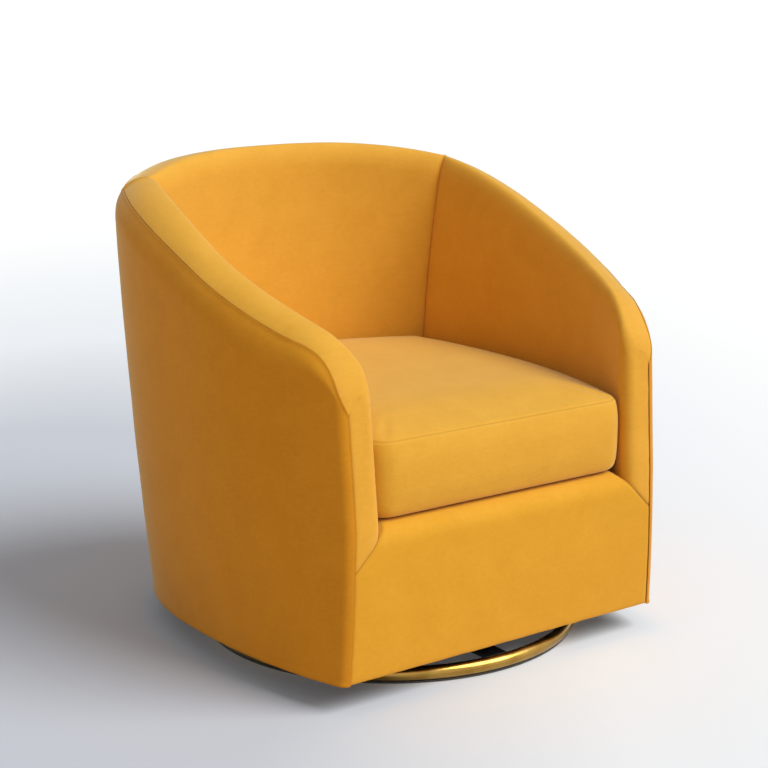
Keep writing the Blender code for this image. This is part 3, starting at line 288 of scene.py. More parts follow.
cornerPlaces = rounded(shell["innerCorner"], spacing["cornerTurns"])
nosePlaces = rounded(rim["noseLength"], spacing["noseTurns"])
frontPlaces = [("arm", setback) for setback in cornerPlaces + nosePlaces]
armPlaces = [("arm", setback) for setback in spread(rim["noseLength"], shell["frontReach"], spacing["arm"])]
haunchPlaces = [("back", inside["creaseAngle"] * share) for share in spread(0, 1, spacing["haunch"])[1:-1]]
creaseSteps = spacing["besideCrease"] + (gap / (2 * (shell["topBack"] - inside["wallBack"])),)
armEnd = [("back", inside["creaseAngle"] - step) for step in creaseSteps]
backStart = [("back", inside["creaseAngle"] + step) for step in creaseSteps[::-1]]
backPlaces = [("back", mix(inside["creaseAngle"], math.pi / 2, share))
              for share in spread(0, 1, spacing["back"])[1:]]


# Making and shaping a cover

def joinLoops(body, loops):
    # The corners of each loop, joined to the next loop all the way round. Returns the grid of corners.
    grid = [[body.verts.new(spot) for spot in loop] for loop in loops]
    for first, second in zip(grid, grid[1:]):
        for i in range(len(first)):
            j = (i + 1) % len(first)
            body.faces.new((first[i], first[j], second[j], second[i]))
    return grid


def sweptBody(loops, frontCap=None):
    # A closed body through loops of points. Its first end may be a padded face: each rung across it is then
    # divided by the given shares. Returns the mesh and its grid of corners.
    body = bmesh.new()
    body.verts.layers.float.new("seam")
    grid = joinLoops(body, loops)
    rungs = []
    if frontCap is None:
        closeEnd(body, grid[0][::-1])
    else:
        rungs = paddedEnd(body, grid[0], frontCap)
    closeEnd(body, grid[-1])
    body.normal_update()
    return body, grid, rungs


def closeEnd(body, ring):
    count = len(ring)
    for i in range((count - 1) // 2):
        rung = [ring[i], ring[i + 1], ring[count - 2 - i], ring[count - 1 - i]]
        body.faces.new(rung if rung[1] is not rung[2] else (rung[0], rung[1], rung[3]))


def paddedEnd(body, ring, shares):
    half = len(ring) // 2
    rungs = [[ring[0], ring[-1]]]
    for k in range(1, half - 1):
        near, far = ring[k], ring[-1 - k]
        across = [body.verts.new(near.co.lerp(far.co, share)) for share in shares]
        rungs.append([near] + across + [far])
    rungs.append([ring[half - 1], ring[half]])
    for lower, upper in zip(rungs, rungs[1:]):
        if len(lower) == len(upper):
            for k in range(len(lower) - 1):
                body.faces.new((lower[k], upper[k], upper[k + 1], lower[k + 1]))
            continue
        few, many = (lower, upper) if len(lower) < len(upper) else (upper, lower)
        middle = len(many) // 2
        turn = 1 if few is lower else -1
        for k in range(len(many) - 1):
            corner = few[0] if k < middle else few[1]
            body.faces.new((corner, many[k], many[k + 1])[::turn])
        body.faces.new((few[0], many[middle], few[1])[::turn])
    return rungs


# Seam grooves in the cloth, with painted shade along them: shade and shadeWidth set how dark and how wide it is,
# fadeFrom, fadeTo and fade weaken it up on the back
seamLook = {
    "depth": 0.0012, "width": 0.0032, "ripple": 0.35, "rippleLength": 0.021,
    "shade": 0.32, "shadeWidth": 0.0018, "fadeFrom": 0.52, "fadeTo": 0.68, "fade": 0.8,
}
softLook = {
    "swell": 0.0005, "swellLength": 0.075, "swellFrom": 0.02,
    "pucker": 0.00022, "puckerLength": 0.013, "puckerReach": 0.016,
}


def falloff(distance, reach):
    return math.exp(-(distance / reach)**2)


def soften(body, distances):
    # Draws the cloth in at its seams, ripples it a little beside them and leaves the rest not quite even. Writes
    # painted shade along the seams and the cover's edges into the seam attribute.
    moves = {}
    shade = body.verts.layers.float["seam"]
    for corner, distance in distances.items():
        spot = corner.co
        high = min(max((spot.z - seamLook["fadeFrom"]) / (seamLook["fadeTo"] - seamLook["fadeFrom"]), 0), 1)
        fade = 1 - seamLook["fade"] * high  # the painted seam shade is weaker up on the back
        corner[shade] = seamLook["shade"] * fade * falloff(distance, seamLook["shadeWidth"])
        wave = noise.noise(spot / seamLook["rippleLength"])
        pull = seamLook["depth"] * (1 + seamLook["ripple"] * wave) * falloff(distance, seamLook["width"])
        away = min(distance / softLook["swellFrom"], 1)
        swell = softLook["swell"] * away * noise.noise(spot / softLook["swellLength"])
        pucker = softLook["pucker"] * noise.noise(spot / softLook["puckerLength"])
        moves[corner] = corner.normal * (swell + pucker * falloff(distance, softLook["puckerReach"]) - pull)
    for corner, move in moves.items():
        corner.co += move


def seamDistances(grid, columns, seamColumns, seamRows):
    # For the shown columns of a swept cover: how far each corner is from the nearest seam.
    distances = {}
    for row in grid:
        for column in columns:
            spot = row[column].co
            near = [(spot - row[seam].co).length for seam in seamColumns]
            near += [(spot - grid[seam][column].co).length for seam in seamRows]
            distances[row[column]] = min(near)
    return distances


def placed(body, name, side=1):
    # The finished mesh as an object of the scene: on its side of the chair, and moved to the swivel axis.
    for corner in body.verts:
        corner.co = Vector((corner.co.x * side, corner.co.y + swivelY, corner.co.z))
    bmesh.ops.recalc_face_normals(body, faces=body.faces)
    mesh = bpy.data.meshes.new(name)
    body.to_mesh(mesh)
    body.free()
    return addToScene(name, mesh)


def select(piece):
    bpy.ops.object.select_all(action="DESELECT")
    piece.select_set(True)
    bpy.context.view_layer.objects.active = piece


def smooth(piece, degrees=50):
    select(piece)
    bpy.ops.object.shade_smooth_by_angle(angle=math.radians(degrees))


def applyModifier(piece, kind, **settings):
    select(piece)
    step = piece.modifiers.new(kind.lower(), kind)
    for name, value in settings.items():
        setattr(step, name, value)
    bpy.ops.object.modifier_apply(modifier=step.name)


def bothSides(loops):
    return loops + [[Vector((-spot.x, spot.y, spot.z)) for spot in loop] for loop in reversed(loops[:-1])]


def wholeOutline(half):  # from half an outline that runs from the front middle to the back middle
    return half + [Vector((-spot.x, spot.y)) for spot in reversed(half[1:-1])]


def innerPlaces(setback, count):
    places = [("arm", back) for back in spread(setback, shell["frontReach"], count)]
    places += [("back", inside["creaseAngle"] * step) for step in spread(0, 1, 18)[1:-1]]
    return places + [("back", mix(inside["creaseAngle"], math.pi / 2, step)) for step in spread(0, 1, 18)]


# Outside cover: one padded wrap, from the hem up to the seam on the roll

coverRows, coverRollRows = 44, 9
rollStep = 0.06  # metres along the roll for each radian round it, near enough


def coverHeights(place):
    top = crestZ(place) - rim["rollFoot"] * rollHeight(place, rim["outerRoll"])
    return [hemZ] + [hemZ + step for step in nearSeam] + spread(hemZ + pastHem, top, coverRows)


def coverAngles(seam):
    fine = [seam - step / rollStep for step in nearSeam[::-1]]
    return spread(0, fine[0], coverRollRows)[:-1] + fine + [seam]


def outsideLoop(place):
    kind, value = place
    deeper = place
    if kind == "arm" and value < shell["outerCorner"]:
        deeper = (kind, mix(shell["skin"], shell["outerCorner"], value / shell["outerCorner"]))
    skin = shell["skin"]
    seam = seamAngle(place)
    outer = [at(place, z) for z in coverHeights(place)]
    outer += [rolled(place, angle) for angle in coverAngles(seam)]
    hidden = [at(deeper, z, skin + cornerInset(deeper, skin)) for z in coverHeights(deeper)]
    hidden += [rolled(deeper, angle, skin) for angle in coverAngles(seam)]
    return outer + hidden[::-1]


def outsideCover():
    loops = bothSides([outsideLoop(place) for place in frontPlaces + armPlaces + haunchPlaces + armEnd[:1]
                       + [("back", inside["creaseAngle"])] + backPlaces])
    body, grid, rungs = sweptBody(loops)
    shown = range(len(loops[0]) // 2)
    soften(body, seamDistances(grid, shown, (shown[0], shown[-1]), (0, -1)))
    piece = placed(body, "outside_cover_velvet")
    smooth(piece)
    return piece


# Arm covers: over the rim, down the inner arm and down the arm front to the mitre

mitre = {"sideZ": 0.212, "foot": 0.202, "top": 0.31, "depth": 0.016, "shadeDepth": 0.014}
border = {
    "roll": 0.032, "topDepth": 0.057, "leastDepth": 0.004, "tuck": (0.228, 0.273), "half": 0.31, "rows": 34,
    "topShares": (0.08, 0.25, 0.5, 0.75, 1), "sideShares": (0.955, 0.72, 16), "middleShares": (0.71, 0, 26),
}
zone = {"beyond": 0.02, "side": 0.04, "middle": 0.05}  # how far the border's zone reaches past the border
padRows, padRollAngles, crestRows = 44, 8, 7
capShares = (0.02, 0.045, 0.08, 0.13, 0.21, 0.33, 0.46, 0.6, 0.74, 0.88)


def padLoop(place, foot=padFoot):
    kind, value = place
    skin = shell["skin"] + gap if value > 0 else 0
    room = gap
    if kind == "arm" and 0 < value < shell["outerCorner"]:
        room += shell["cornerRoom"] * (1 - value / shell["outerCorner"])
    seam = seamAngle(place) + gap / rim["noseRoll"]
    solid = kind == "arm" and value < shell["frontPad"]  # the arm front's padding has no frame behind it
    crest = crestZ(place)
    roll = rollHeight(place, rim["outerRoll"])
    if solid:
        start = 0
        outer = [at(place, z, skin + cornerInset(place, skin) + room)
                 for z in spread(mitre["foot"], crest - rim["rollFoot"] * roll, padRows)]
    else:
        start = math.asin(max((roll - rim["topPad"]) / (roll - skin), 0))
        outer = [at(place, z, shell["padDepth"]) for z in spread(foot, crest - rim["topPad"], padRows)]
    outer += [rolled(place, angle, skin, room) for angle in spread(start, seam, padRollAngles)]
    outer += [rolled(place, seam + step / rollStep) for step in nearSeam]
    outer += [rolled(place, angle) for angle in spread(seam + pastSeam / rollStep, math.pi / 2, crestRows)]
    count = len(outer) - padRows
    inner = [rolledInside(place, angle) for angle in spread(math.pi / 2, 0, count + 1)[1:]]
    low = mitre["foot"] if solid else foot
    inner += [at(place, z, wallAt(place, z)) for z in spread(inner[-1].z, low, padRows + 1)[1:]]
    return outer + inner


seamColumn = padRows + padRollAngles - 1
mitreX = outerPlan(("arm", 0), mitre["sideZ"]).x  # where the mitre meets the side
deckFront = frontY + border["topDepth"] + shell["frontPad"] + gap


def mitreDistance(spot):
    return (spot.x + spot.z - mitreX - mitre["sideZ"]) / math.sqrt(2)


def borderZone(hand):
    # What the front border takes from the arm cover.
    side, low = mitreX + zone["side"], hemZ - zone["beyond"]
    corners = [(side, low), (side, mitre["sideZ"] - zone["side"]),
               (mitreX - (deckTop - mitre["sideZ"]), deckTop), (-zone["middle"], deckTop), (-zone["middle"], low)]
    lift = gap * math.sqrt(2)
    body = bmesh.new()
    ends = joinLoops(body, [[(x, y, z + lift) for x, z in corners]
                            for y in (frontY - zone["beyond"], deckFront)])
    for end in ends:
        body.faces.new(end)
    return placed(body, "border_zone", hand)


def armCover(side, name):
    places = list(frontPlaces)
    step = next(k for k, place in enumerate(places) if place[1] >= shell["frontPad"])
    places[step:step] = [("arm", shell["frontPad"] - gap / 2), ("arm", shell["frontPad"])]
    loops = [padLoop(place) for place in places + armPlaces + haunchPlaces + armEnd]
    body, grid, rungs = sweptBody(loops, capShares)
    shown = range(seamColumn, len(loops[0]) - 1)
    distances = seamDistances(grid, shown, (seamColumn,), (-1,))
    for step, rung in enumerate(rungs):
        for corner in rung[:-1]:
            edge = rung[0] if step < seamColumn else grid[0][seamColumn]
            distances[corner] = (corner.co - edge.co).length
    soften(body, distances)
    front = [face for face in body.faces if face.calc_center_median().y < frontY + mitre["depth"]
             and face.calc_center_median().z < mitre["top"]]
    for step in nearSeam:  # finer rows beside the mitre
        parts = set(front)
        for face in front:
            parts.update(face.edges, face.verts)
        spot = (mitreX + mitre["sideZ"] + step * math.sqrt(2), 0, 0)
        cut = bmesh.ops.bisect_plane(body, geom=list(parts), plane_co=spot, plane_no=(1, 0, 1))
        front = [part for part in cut["geom"] if isinstance(part, bmesh.types.BMFace)]
    piece = placed(body, name, side)
    cutter = borderZone(side)
    applyModifier(piece, "BOOLEAN", solver="MANIFOLD", object=cutter)
    bpy.data.objects.remove(cutter)
    # The mitre is grooved, and painted shade is written along it into the seam attribute
    marks = piece.data.attributes["seam"].data
    for corner in piece.data.vertices:
        spot = Vector((corner.co.x * side, corner.co.y - swivelY, corner.co.z))
        if spot.y < frontY + mitre["shadeDepth"] and spot.z < mitre["top"]:
            distance = abs(mitreDistance(spot))
            corner.co.y += seamLook["depth"] * falloff(distance, seamLook["width"])
            shade = seamLook["shade"] * falloff(distance, seamLook["shadeWidth"])
            marks[corner.index].value = max(marks[corner.index].value, shade)
    smooth(piece)
    return piece


# Inside back cover, between the two creases

def insideBackCover():
    loops = bothSides([padLoop(place) for place in backStart + backPlaces])
    body, grid, rungs = sweptBody(loops)
    shown = range(seamColumn, len(loops[0]) - 1)
    soften(body, seamDistances(grid, shown, (seamColumn,), (0, -1)))
    piece = placed(body, "inside_back_velvet")
    smooth(piece)
    return piece


# Front border: padded cloth over the front rail, mitred to the arm fronts

def borderSection(share):
    flat = deckTop - border["roll"] - hemZ

    def spotAt(run):
        if run <= flat:
            z = hemZ + run
            return at(("arm", 0), z).y, z
        turn = (run - flat) / border["roll"]
        return frontY + border["roll"] * (1 - math.cos(turn)), deckTop - border["roll"] * (1 - math.sin(turn))

    top = deckTop
    for _ in range(12):  # where the mitre crosses this section
        reach = abs(share) * (outerPlan(("arm", 0), top).x - gap)
        top = min(deckTop, mitre["sideZ"] + mitreX - gap - reach)
    run = top - hemZ
    if run > flat:
        run = flat + border["roll"] * math.asin(min((run - flat) / border["roll"], 1))
    low, high = nearSeam, [run - step for step in nearSeam[::-1]]
    runs = [0] + list(low) + spread(low[-1] * 1.6, high[0] - low[-1] * 0.6, border["rows"]) + high + [run]
    section = [spotAt(value) for value in runs]
    lastY = section[-1][0]
    inner = frontY + shell["frontPad"]
    backY = inner + border["topDepth"] if top > padFoot + 0.0005 else max(inner, lastY + border["leastDepth"])
    section += [(mix(lastY, backY, step), top) for step in border["topShares"]]
    under = min(padFoot, top)
    section += [(backY, under), (inner, under), (inner, mix(under, hemZ, 0.5)), (inner, hemZ)]
    return [Vector((share * (outerPlan(("arm", 0), z).x - gap), y, z)) for y, z in section], len(runs)


def frontBorder():
    fine = [1 - step / border["half"] for step in nearSeam]
    shares = [1] + fine + spread(*border["sideShares"]) + spread(*border["middleShares"])  # finest at the side
    sections = [borderSection(share) for share in shares]
    count = sections[0][1]
    loops = bothSides([section for section, _ in sections])
    body, grid, rungs = sweptBody(loops)
    distances = {}
    for row in grid:
        for column in range(count):
            spot = row[column].co
            side = outerPlan(("arm", 0), spot.z).x - abs(spot.x)
            slant = abs(mitreDistance(Vector((abs(spot.x), spot.y, spot.z))))
            distances[row[column]] = min(side, slant, (spot - row[0].co).length)
    soften(body, distances)
    inner = frontY + shell["frontPad"]
    low = Vector((border["tuck"][0], inner + gap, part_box("front_seat_rail")[1][2] + gap))
    high = Vector((border["tuck"][1], inner + border["topDepth"], padFoot - gap))
    centre = (low + high) / 2
    for side in (-1, 1):  # the cloth tucked in under the foot of each arm cover
        place = Matrix.Translation((centre.x * side, centre.y, centre.z))
        bmesh.ops.create_cube(body, matrix=place @ Matrix.Diagonal((high - low).to_4d()))
    piece = placed(body, "front_border_velvet")
    smooth(piece)
    return piece


outside = outsideCover()
print("stage: outside cover")
arms = [armCover(1, "arm_velvet_right"), armCover(-1, "arm_velvet_left")]
print("stage: arm covers")
insideBack = insideBackCover()
frontPanel = frontBorder()
print("stage: inside back and front border")


# Seat cushion: boxed, with its seams drawn in and its panels swollen by a cloth simulation

cushion = {
    "setback": 0.011, "room": 0.0035, "corner": 0.034, "frontHeight": 0.1185, "backHeight": 0.1315,
    "footInset": 0.013, "seamInset": 0.006, "crown": 0.020, "pressure": 3.2, "frames": 20,
    "topSwell": 0.007, "sideSwell": 0.0022, "frontSwell": 0.004, "groove": 0.0016, "evenings": 4,
    "stretch": 12, "bend": 2, "clearance": 0.0006, "footRoom": 0.002, "sideShare": 0.97,
    "underRings": (0.93, 0.8, 0.64, 0.46, 0.3, 0.17, 0.08, 0.03, 0),
    "sideRings": (0.045, 0.10, 0.18, 0.28, 0.39, 0.50, 0.61, 0.72, 0.82, 0.90, 0.955, 1),
    "topRings": (0.012, 0.03, 0.055, 0.09, 0.135, 0.19, 0.26, 0.34, 0.43, 0.53, 0.63, 0.73, 0.83, 0.93),
}


def cushionPlan(z, inset):
    # Half an outline that fills the space between the arms, from the front middle to the back middle.
    front = frontY + cushion["setback"] + inset
    corner = cushion["corner"]
    room = cushion["room"] + inset
    cornerX = innerPlan(("arm", setbackAt(front + corner, z)), z).x - room
    half = [Vector((step * (cornerX - corner), front)) for step in spread(0, 1, 15)[:-1]]
    for turn in spread(math.pi / 2, 0, 9):
        half.append(Vector((cornerX - corner * (1 - math.cos(turn)), front + corner * (1 - math.sin(turn)))))
    for place in innerPlaces(rim["noseLength"], 14):
        half.append(innerPlan(place, z) + inward(place, z) * (room + creasePull(place, z)))
    return half


def cushionBody():
    low = deckTop + cushion["clearance"]
    front, back = frontY + cushion["setback"], shell["topBack"] - inside["wallBack"]
    middle = Vector((0, (front + back) / 2))

    def ring(heightShare, inset, shrink=0.0, rise=0.0):
        spots = []
        for spot in wholeOutline(cushionPlan(low + cushion["frontHeight"] * heightShare, inset)):
            spot = spot.lerp(middle, shrink)
            share = min(max((spot.y - front) / (back - front), 0), 1)
            height = mix(cushion["frontHeight"], cushion["backHeight"], share) * heightShare
            spots.append(Vector((spot.x, spot.y, low + height + rise)))
        return spots

    rings = [ring(0, cushion["footInset"], shrink) for shrink in cushion["underRings"]]
    for heightShare in cushion["sideRings"]:
        side = abs(2 * heightShare - 1)
        rings.append(ring(heightShare, cushion["seamInset"] * side**4))
    seamRings = (len(cushion["underRings"]) - 1, len(rings) - 1)
    for shrink in cushion["topRings"]:
        bow = math.sqrt(1 - (1 - shrink)**4)
        rings.append(ring(1, cushion["seamInset"], shrink, cushion["crown"] * bow))
    body = bmesh.new()
    shade = body.verts.layers.float.new("seam")
    grid = joinLoops(body, rings)
    count = len(grid[0])
    # The seam rings are marked here; the marks later become a groove and painted shade along the cushion's seams
    for seam in seamRings:
        for corner in grid[seam]:
            corner[shade] = 1
    for loop, turn in ((grid[0], -1), (grid[-1], 1)):
        centre = body.verts.new(sum((corner.co for corner in loop), Vector()) / count)
        for i in range(count):
            body.faces.new((loop[i], loop[(i + 1) % count], centre)[::turn])
    return body, count, seamRings


def seatCushion():
    body, count, seamRings = cushionBody()
    piece = placed(body, "seat_cushion_velvet")
    rest = [corner.co.copy() for corner in piece.data.vertices]
    low = min(spot.z for spot in rest)
    frontEdge = min(spot.y for spot in rest)
    held = piece.vertex_groups.new(name="seams")
    fixed = [index for index, spot in enumerate(rest) if spot.z < low + cushion["footRoom"]]
    fixed += [seam * count + i for seam in seamRings for i in range(count)]
    held.add(fixed, 1, "REPLACE")
    cloth = piece.modifiers.new("swell", "CLOTH")
    cloth.settings.use_pressure = True
    cloth.settings.uniform_pressure_force = cushion["pressure"]
    cloth.settings.vertex_group_mass = "seams"
    cloth.settings.tension_stiffness = cloth.settings.compression_stiffness = cushion["stretch"]
    cloth.settings.bending_stiffness = cushion["bend"]
    cloth.settings.effector_weights.gravity = 0
    cloth.collision_settings.use_collision = False
    cloth.point_cache.frame_start = 1
    cloth.point_cache.frame_end = cushion["frames"]
    for step in range(1, cushion["frames"] + 1):
        scene.frame_set(step)
    select(piece)
    bpy.ops.object.modifier_apply(modifier="swell")
    scene.frame_set(1)
    for corner, spot in zip(piece.data.vertices, rest):
        move = corner.co - spot
        limit = cushion["topSwell"]
        if spot.z < low + cushion["frontHeight"] * cushion["sideShare"]:
            away = min((spot.y - frontEdge) / cushion["corner"], 1)
            limit = mix(cushion["frontSwell"], cushion["sideSwell"], away * away * (3 - 2 * away))
            move -= corner.normal * min(move.dot(corner.normal), 0)
        if move.length > limit:
            move *= limit / move.length
        corner.co = spot + move
    applyModifier(piece, "SMOOTH", factor=0.5, iterations=cushion["evenings"], vertex_group="seams",
                  invert_vertex_group=True)
    applyModifier(piece, "SUBSURF", levels=2, render_levels=2)
    normals = [corner.vector.copy() for corner in piece.data.vertex_normals]
    for corner, normal, mark in zip(piece.data.vertices, normals, piece.data.attributes["seam"].data):
        # A groove along the seams, and painted shade along them in the seam attribute
        corner.co -= normal * (cushion["groove"] * mark.value**2)
        mark.value = seamLook["shade"] * mark.value**6
    smooth(piece, 80)
    return piece


seatPad = seatCushion()
print("stage: cushion")


# Seat deck: a felt-covered pad under the cushion

deck = {
    "edge": 0.004, "footInset": 0.002, "shoulder": 0.0015, "shoulderInset": 0.0012, "places": 16,
    "underRings": (0.9, 0.5, 0), "topRings": (0.03, 0.1, 0.3, 0.6, 0.9),
}


def seatDeck():
    places = innerPlaces(rim["noseLength"] + deck["edge"], deck["places"])

    def ring(z, inset, shrink=0.0):
        half = []
        for place in places:
            depth = gap + inset + creasePull(place, padFoot)
            spot = innerPlan(place, padFoot) + inward(place, padFoot) * depth
            half.append(Vector((spot.x, max(spot.y, deckFront + inset))))
        half = [Vector((half[0].x * step, deckFront + inset)) for step in spread(0, 1, 14)[:-1]] + half
        return [Vector((spot.x * (1 - shrink), spot.y * (1 - shrink), z)) for spot in wholeOutline(half)]

    rings = [ring(padFoot, deck["footInset"], shrink) for shrink in deck["underRings"]]
    rings += [ring(padFoot + deck["footInset"], 0), ring(deckTop - deck["edge"], 0)]
    rings += [ring(deckTop - deck["shoulder"], deck["shoulderInset"]), ring(deckTop, deck["edge"])]
    rings += [ring(deckTop, deck["edge"], shrink) for shrink in deck["topRings"]]
    body = bmesh.new()
    grid = joinLoops(body, rings)
    body.faces.new(grid[0][::-1])
    body.faces.new(grid[-1])
    piece = placed(body, "seat_deck_felt")
    smooth(piece)
    return piece


deckPad = seatDeck()


# Dust cover: thin black cloth stretched under the rails

dustSheet = {"inset": 0.0103, "hole": 0.016, "thickness": 0.0009, "sag": 0.0004, "sagLength": 0.05,
             "clearance": 0.0001, "rings": (1, 0.9, 0.7, 0.45, 0.2, 0)}


def dustCover():
    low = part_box("dust_cover")[0][2]
    places = [("arm", setback) for setback in spread(shell["frontPad"], shell["frontReach"], 16)]
    places += [("back", math.pi / 2 * step) for step in spread(0, 1, 40)[1:]]
    half = [Vector((0, frontY + shell["frontPad"] + gap))]
    half += [outerPlan(place, low) + inward(place, low) * dustSheet["inset"] for place in places]
    loops = [[] for _ in dustSheet["rings"]]
    for spot in wholeOutline(half):
        near = spot.normalized() * dustSheet["hole"]
        for loop, share in zip(loops, dustSheet["rings"]):
            place = near.lerp(spot, share).to_3d()
            sag = dustSheet["sag"] * abs(noise.noise(place / dustSheet["sagLength"])) if share < 1 else 0
            loop.append((place.x, place.y, low + dustSheet["clearance"] + sag))
    body = bmesh.new()
    joinLoops(body, loops)
    area = sum(face.calc_area() for face in body.faces)
    piece = placed(body, "dust_cover_cloth")
    applyModifier(piece, "SOLIDIFY", thickness=dustSheet["thickness"] / 2, offset=1)
    return piece, area


dustPiece, dustArea = dustCover()
print("stage: deck and dust cover")


# Base ring: brass-plated round tube, finer than the CAD one

ring = {"radius": 0.3015, "tube": 0.011, "around": 240, "across": 36}
bpy.ops.object.select_all(action="DESELECT")
ringLow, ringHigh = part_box("base_ring")
bpy.ops.mesh.primitive_torus_add(major_radius=ring["radius"], minor_radius=ring["tube"],
                                 major_segments=ring["around"], minor_segments=ring["across"],
                                 location=(0, swivelY, (ringLow[2] + ringHigh[2]) / 2))
brassRing = bpy.context.object
brassRing.name = "base_ring_brass"
bpy.ops.object.transform_apply(location=True, rotation=True, scale=True)
smooth(brassRing)
along = brassRing.data.uv_layers[0]  # in metres: round the ring, then round the tube
along.name = "along"
for spot in along.data:
    spot.uv = (spot.uv.x * 2 * math.pi * ring["radius"], spot.uv.y * 2 * math.pi * ring["tube"])


# Materials

def linearColour(hexCode):
    # sRGB hex to the linear values that a shader socket takes
    parts = [int(hexCode[i:i + 2], 16) / 255 for i in (0, 2, 4)]
    return [part / 12.92 if part <= 0.04045 else ((part + 0.055) / 1.055)**2.4 for part in parts] + [1]


def fillSockets(node, values):
    # Each value is a number, a hex colour or another node's output.
    for name, value in values.items():
        if isinstance(value, bpy.types.NodeSocket):
            node.id_data.links.new(value, node.inputs[name])
        else:
            node.inputs[name].default_value = linearColour(value) if isinstance(value, str) else value


def addNode(tree, kind, inputs=None, settings=None, output=0):
    # One node with its settings and links, and the output that is asked for. A ramp's stops hold hex or grey.
    node = tree.nodes.new("ShaderNode" + kind)
    for name, value in (settings or {}).items():
        if name != "stops":
            setattr(node, name, value)
            continue
        ramp = node.color_ramp.elements
        while len(ramp) < len(value):
            ramp.new(1)
        for element, (place, tone) in zip(ramp, value):
            element.position = place
            element.color = linearColour(tone) if isinstance(tone, str) else (tone, tone, tone, 1)
    fillSockets(node, inputs or {})
    return node.outputs[output]


def newMaterial(name, look):
    # From a dictionary: values for the shader's sockets; patterns; tones; a seam colour, mixed in by
    # the pattern named seam (painted shade along the velvet's seams, glue lines in the plywood);
    # roughness; and relief, with the depth and strength of each pattern. A pattern is a noise, given by
    # its size in metres (which may differ along the axes), detail, roughness and distortion, or it is
    # another node, whose inputs may name earlier patterns.
    material = bpy.data.materials.new(name)
    material.use_nodes = True
    tree = material.node_tree
    made = {"place": addNode(tree, "TexCoord", output="Object")}
    for pattern, recipe in look["patterns"].items():
        if not isinstance(recipe[0], str):
            recipe = ("TexNoise", dict(zip(("size", "Detail", "Roughness", "Distortion"), recipe)))
        kind, inputs, *rest = recipe
        inputs = {socket: made.get(value, value) if isinstance(value, str) else value
                  for socket, value in inputs.items()}
        size = inputs.pop("size", None)
        if size:
            inputs.setdefault("Vector", made["place"])
            if isinstance(size, tuple):
                stretch = {"Vector": inputs["Vector"], "Scale": [1 / part for part in size]}
                inputs["Vector"], size = addNode(tree, "Mapping", stretch), 1
            inputs["Scale"] = 1 / size
        made[pattern] = addNode(tree, kind, inputs, *rest)
    colour = addNode(tree, "ValToRGB", {"Fac": made[look["tones"][0]]}, {"stops": look["tones"][1]})
    if "seam" in look:
        colour = addNode(tree, "Mix", {0: made["seam"], 6: colour, 7: look["seam"]}, {"data_type": "RGBA"}, 2)
    pattern, low, high = look["roughness"]
    values = {"Base Color": colour, "Roughness": addNode(tree, "Mix", {0: made[pattern], 2: low, 3: high})}
    for pattern, depth, strength in look["relief"]:
        inputs = {"Height": made[pattern], "Distance": depth, "Strength": strength}
        if "Normal" in values:
            inputs["Normal"] = values["Normal"]
        values["Normal"] = addNode(tree, "Bump", inputs)
    fillSockets(tree.nodes["Principled BSDF"], {**look.get("values", {}), **values})
    return material


def lengthwise(across, long, axis):  # the size of a grain that runs along this axis
    return tuple(long if k == axis else across for k in range(3))


# Upholstery velvet, mustard yellow: short pile lying in soft patches, a little lighter where it is stroked one
# way, a fine nap, faint cross threads, a pale sheen at grazing angles, and painted shade along the seams,
# where the seam attribute darkens the colour. Sizes in metres; the pile's real pitch is about 0.4 mm, drawn at
# 1.2 mm so that it shows. Each panel has its own tones as painted light and shade: the outside cover, mostly in
# shade, deeper and more orange, the lit lining paler and yellower, the border a little deeper than the lining
# and the cushion close to it. The panels also differ in gloss.
# Tones for each panel: lit and shaded copies of one velvet, as painted light and shade
panels = {
    "outside": {"tones": ("D58E1F", "DC9524", "E29C2B"), "gloss": 0.12},
    "lining": {"tones": ("DC9F2A", "E3A630", "E9AD39"), "gloss": 0.45},
    "border": {"tones": ("D99C26", "DFA22B", "E5A832"), "gloss": 0.2},
    "cushion": {"tones": ("DA9F2A", "E0A630", "E6AD39"), "gloss": 0.4},
}
velvets = {name: newMaterial("yellow_velvet_" + name, {
    "values": {"Sheen Weight": 0.9, "Sheen Roughness": 0.35, "Sheen Tint": "F6F2D0",
               "Specular IOR Level": panel["gloss"]},
    "patterns": {
        "strokes": (0.055, 3, 0.5, 0.5),
        "flecks": (0.0075, 4, 0.65),
        "threads": ((0.0156, 0.0156, 0.0026), 2, 0.55),
        "nap": (0.0012, 2, 0.5),
        "patches": ("Mix", {0: 0.45, 2: "strokes", 3: "flecks"}),
        "pile": ("Mix", {0: 0.25, 2: "patches", 3: "threads"}),
        # seam: the seam attribute, which mixes in 7A4A12 below as painted shade along the seams
        "seam": ("Attribute", {}, {"attribute_name": "seam"}, "Fac"),
    },
    "tones": ("pile", list(zip((0.30, 0.50, 0.70), panel["tones"]))), "seam": "7A4A12",
    "roughness": ("flecks", 0.72, 0.88), "relief": (("nap", 0.00025, 0.6), ("pile", 0.0006, 0.5)),
}) for name, panel in panels.items()}

# Brass plating over polished tube: warm and bright, with faint polishing lines along the tube, a few duller
# smears, and browner metal where the plating is thin
brassPlate = newMaterial("brass_plate", {
    "values": {"Metallic": 1},
    "patterns": {
        "along": ("UVMap", {}, {"uv_map": "along"}),
        "lines": ("TexNoise", {"Vector": "along", "size": (0.09, 0.0007, 1), "Detail": 3, "Roughness": 0.6}),
        "smears": (0.05, 4, 0.6, 0.4),
        "wear": ("Mix", {0: 0.4, 2: "smears", 3: "lines"}),
    },
    "tones": ("wear", ((0.28, "8E6A2A"), (0.5, "B08A42"), (0.72, "C49E58"))),
    "roughness": ("smears", 0.14, 0.34), "relief": (("lines", 0.00004, 0.5),),
})

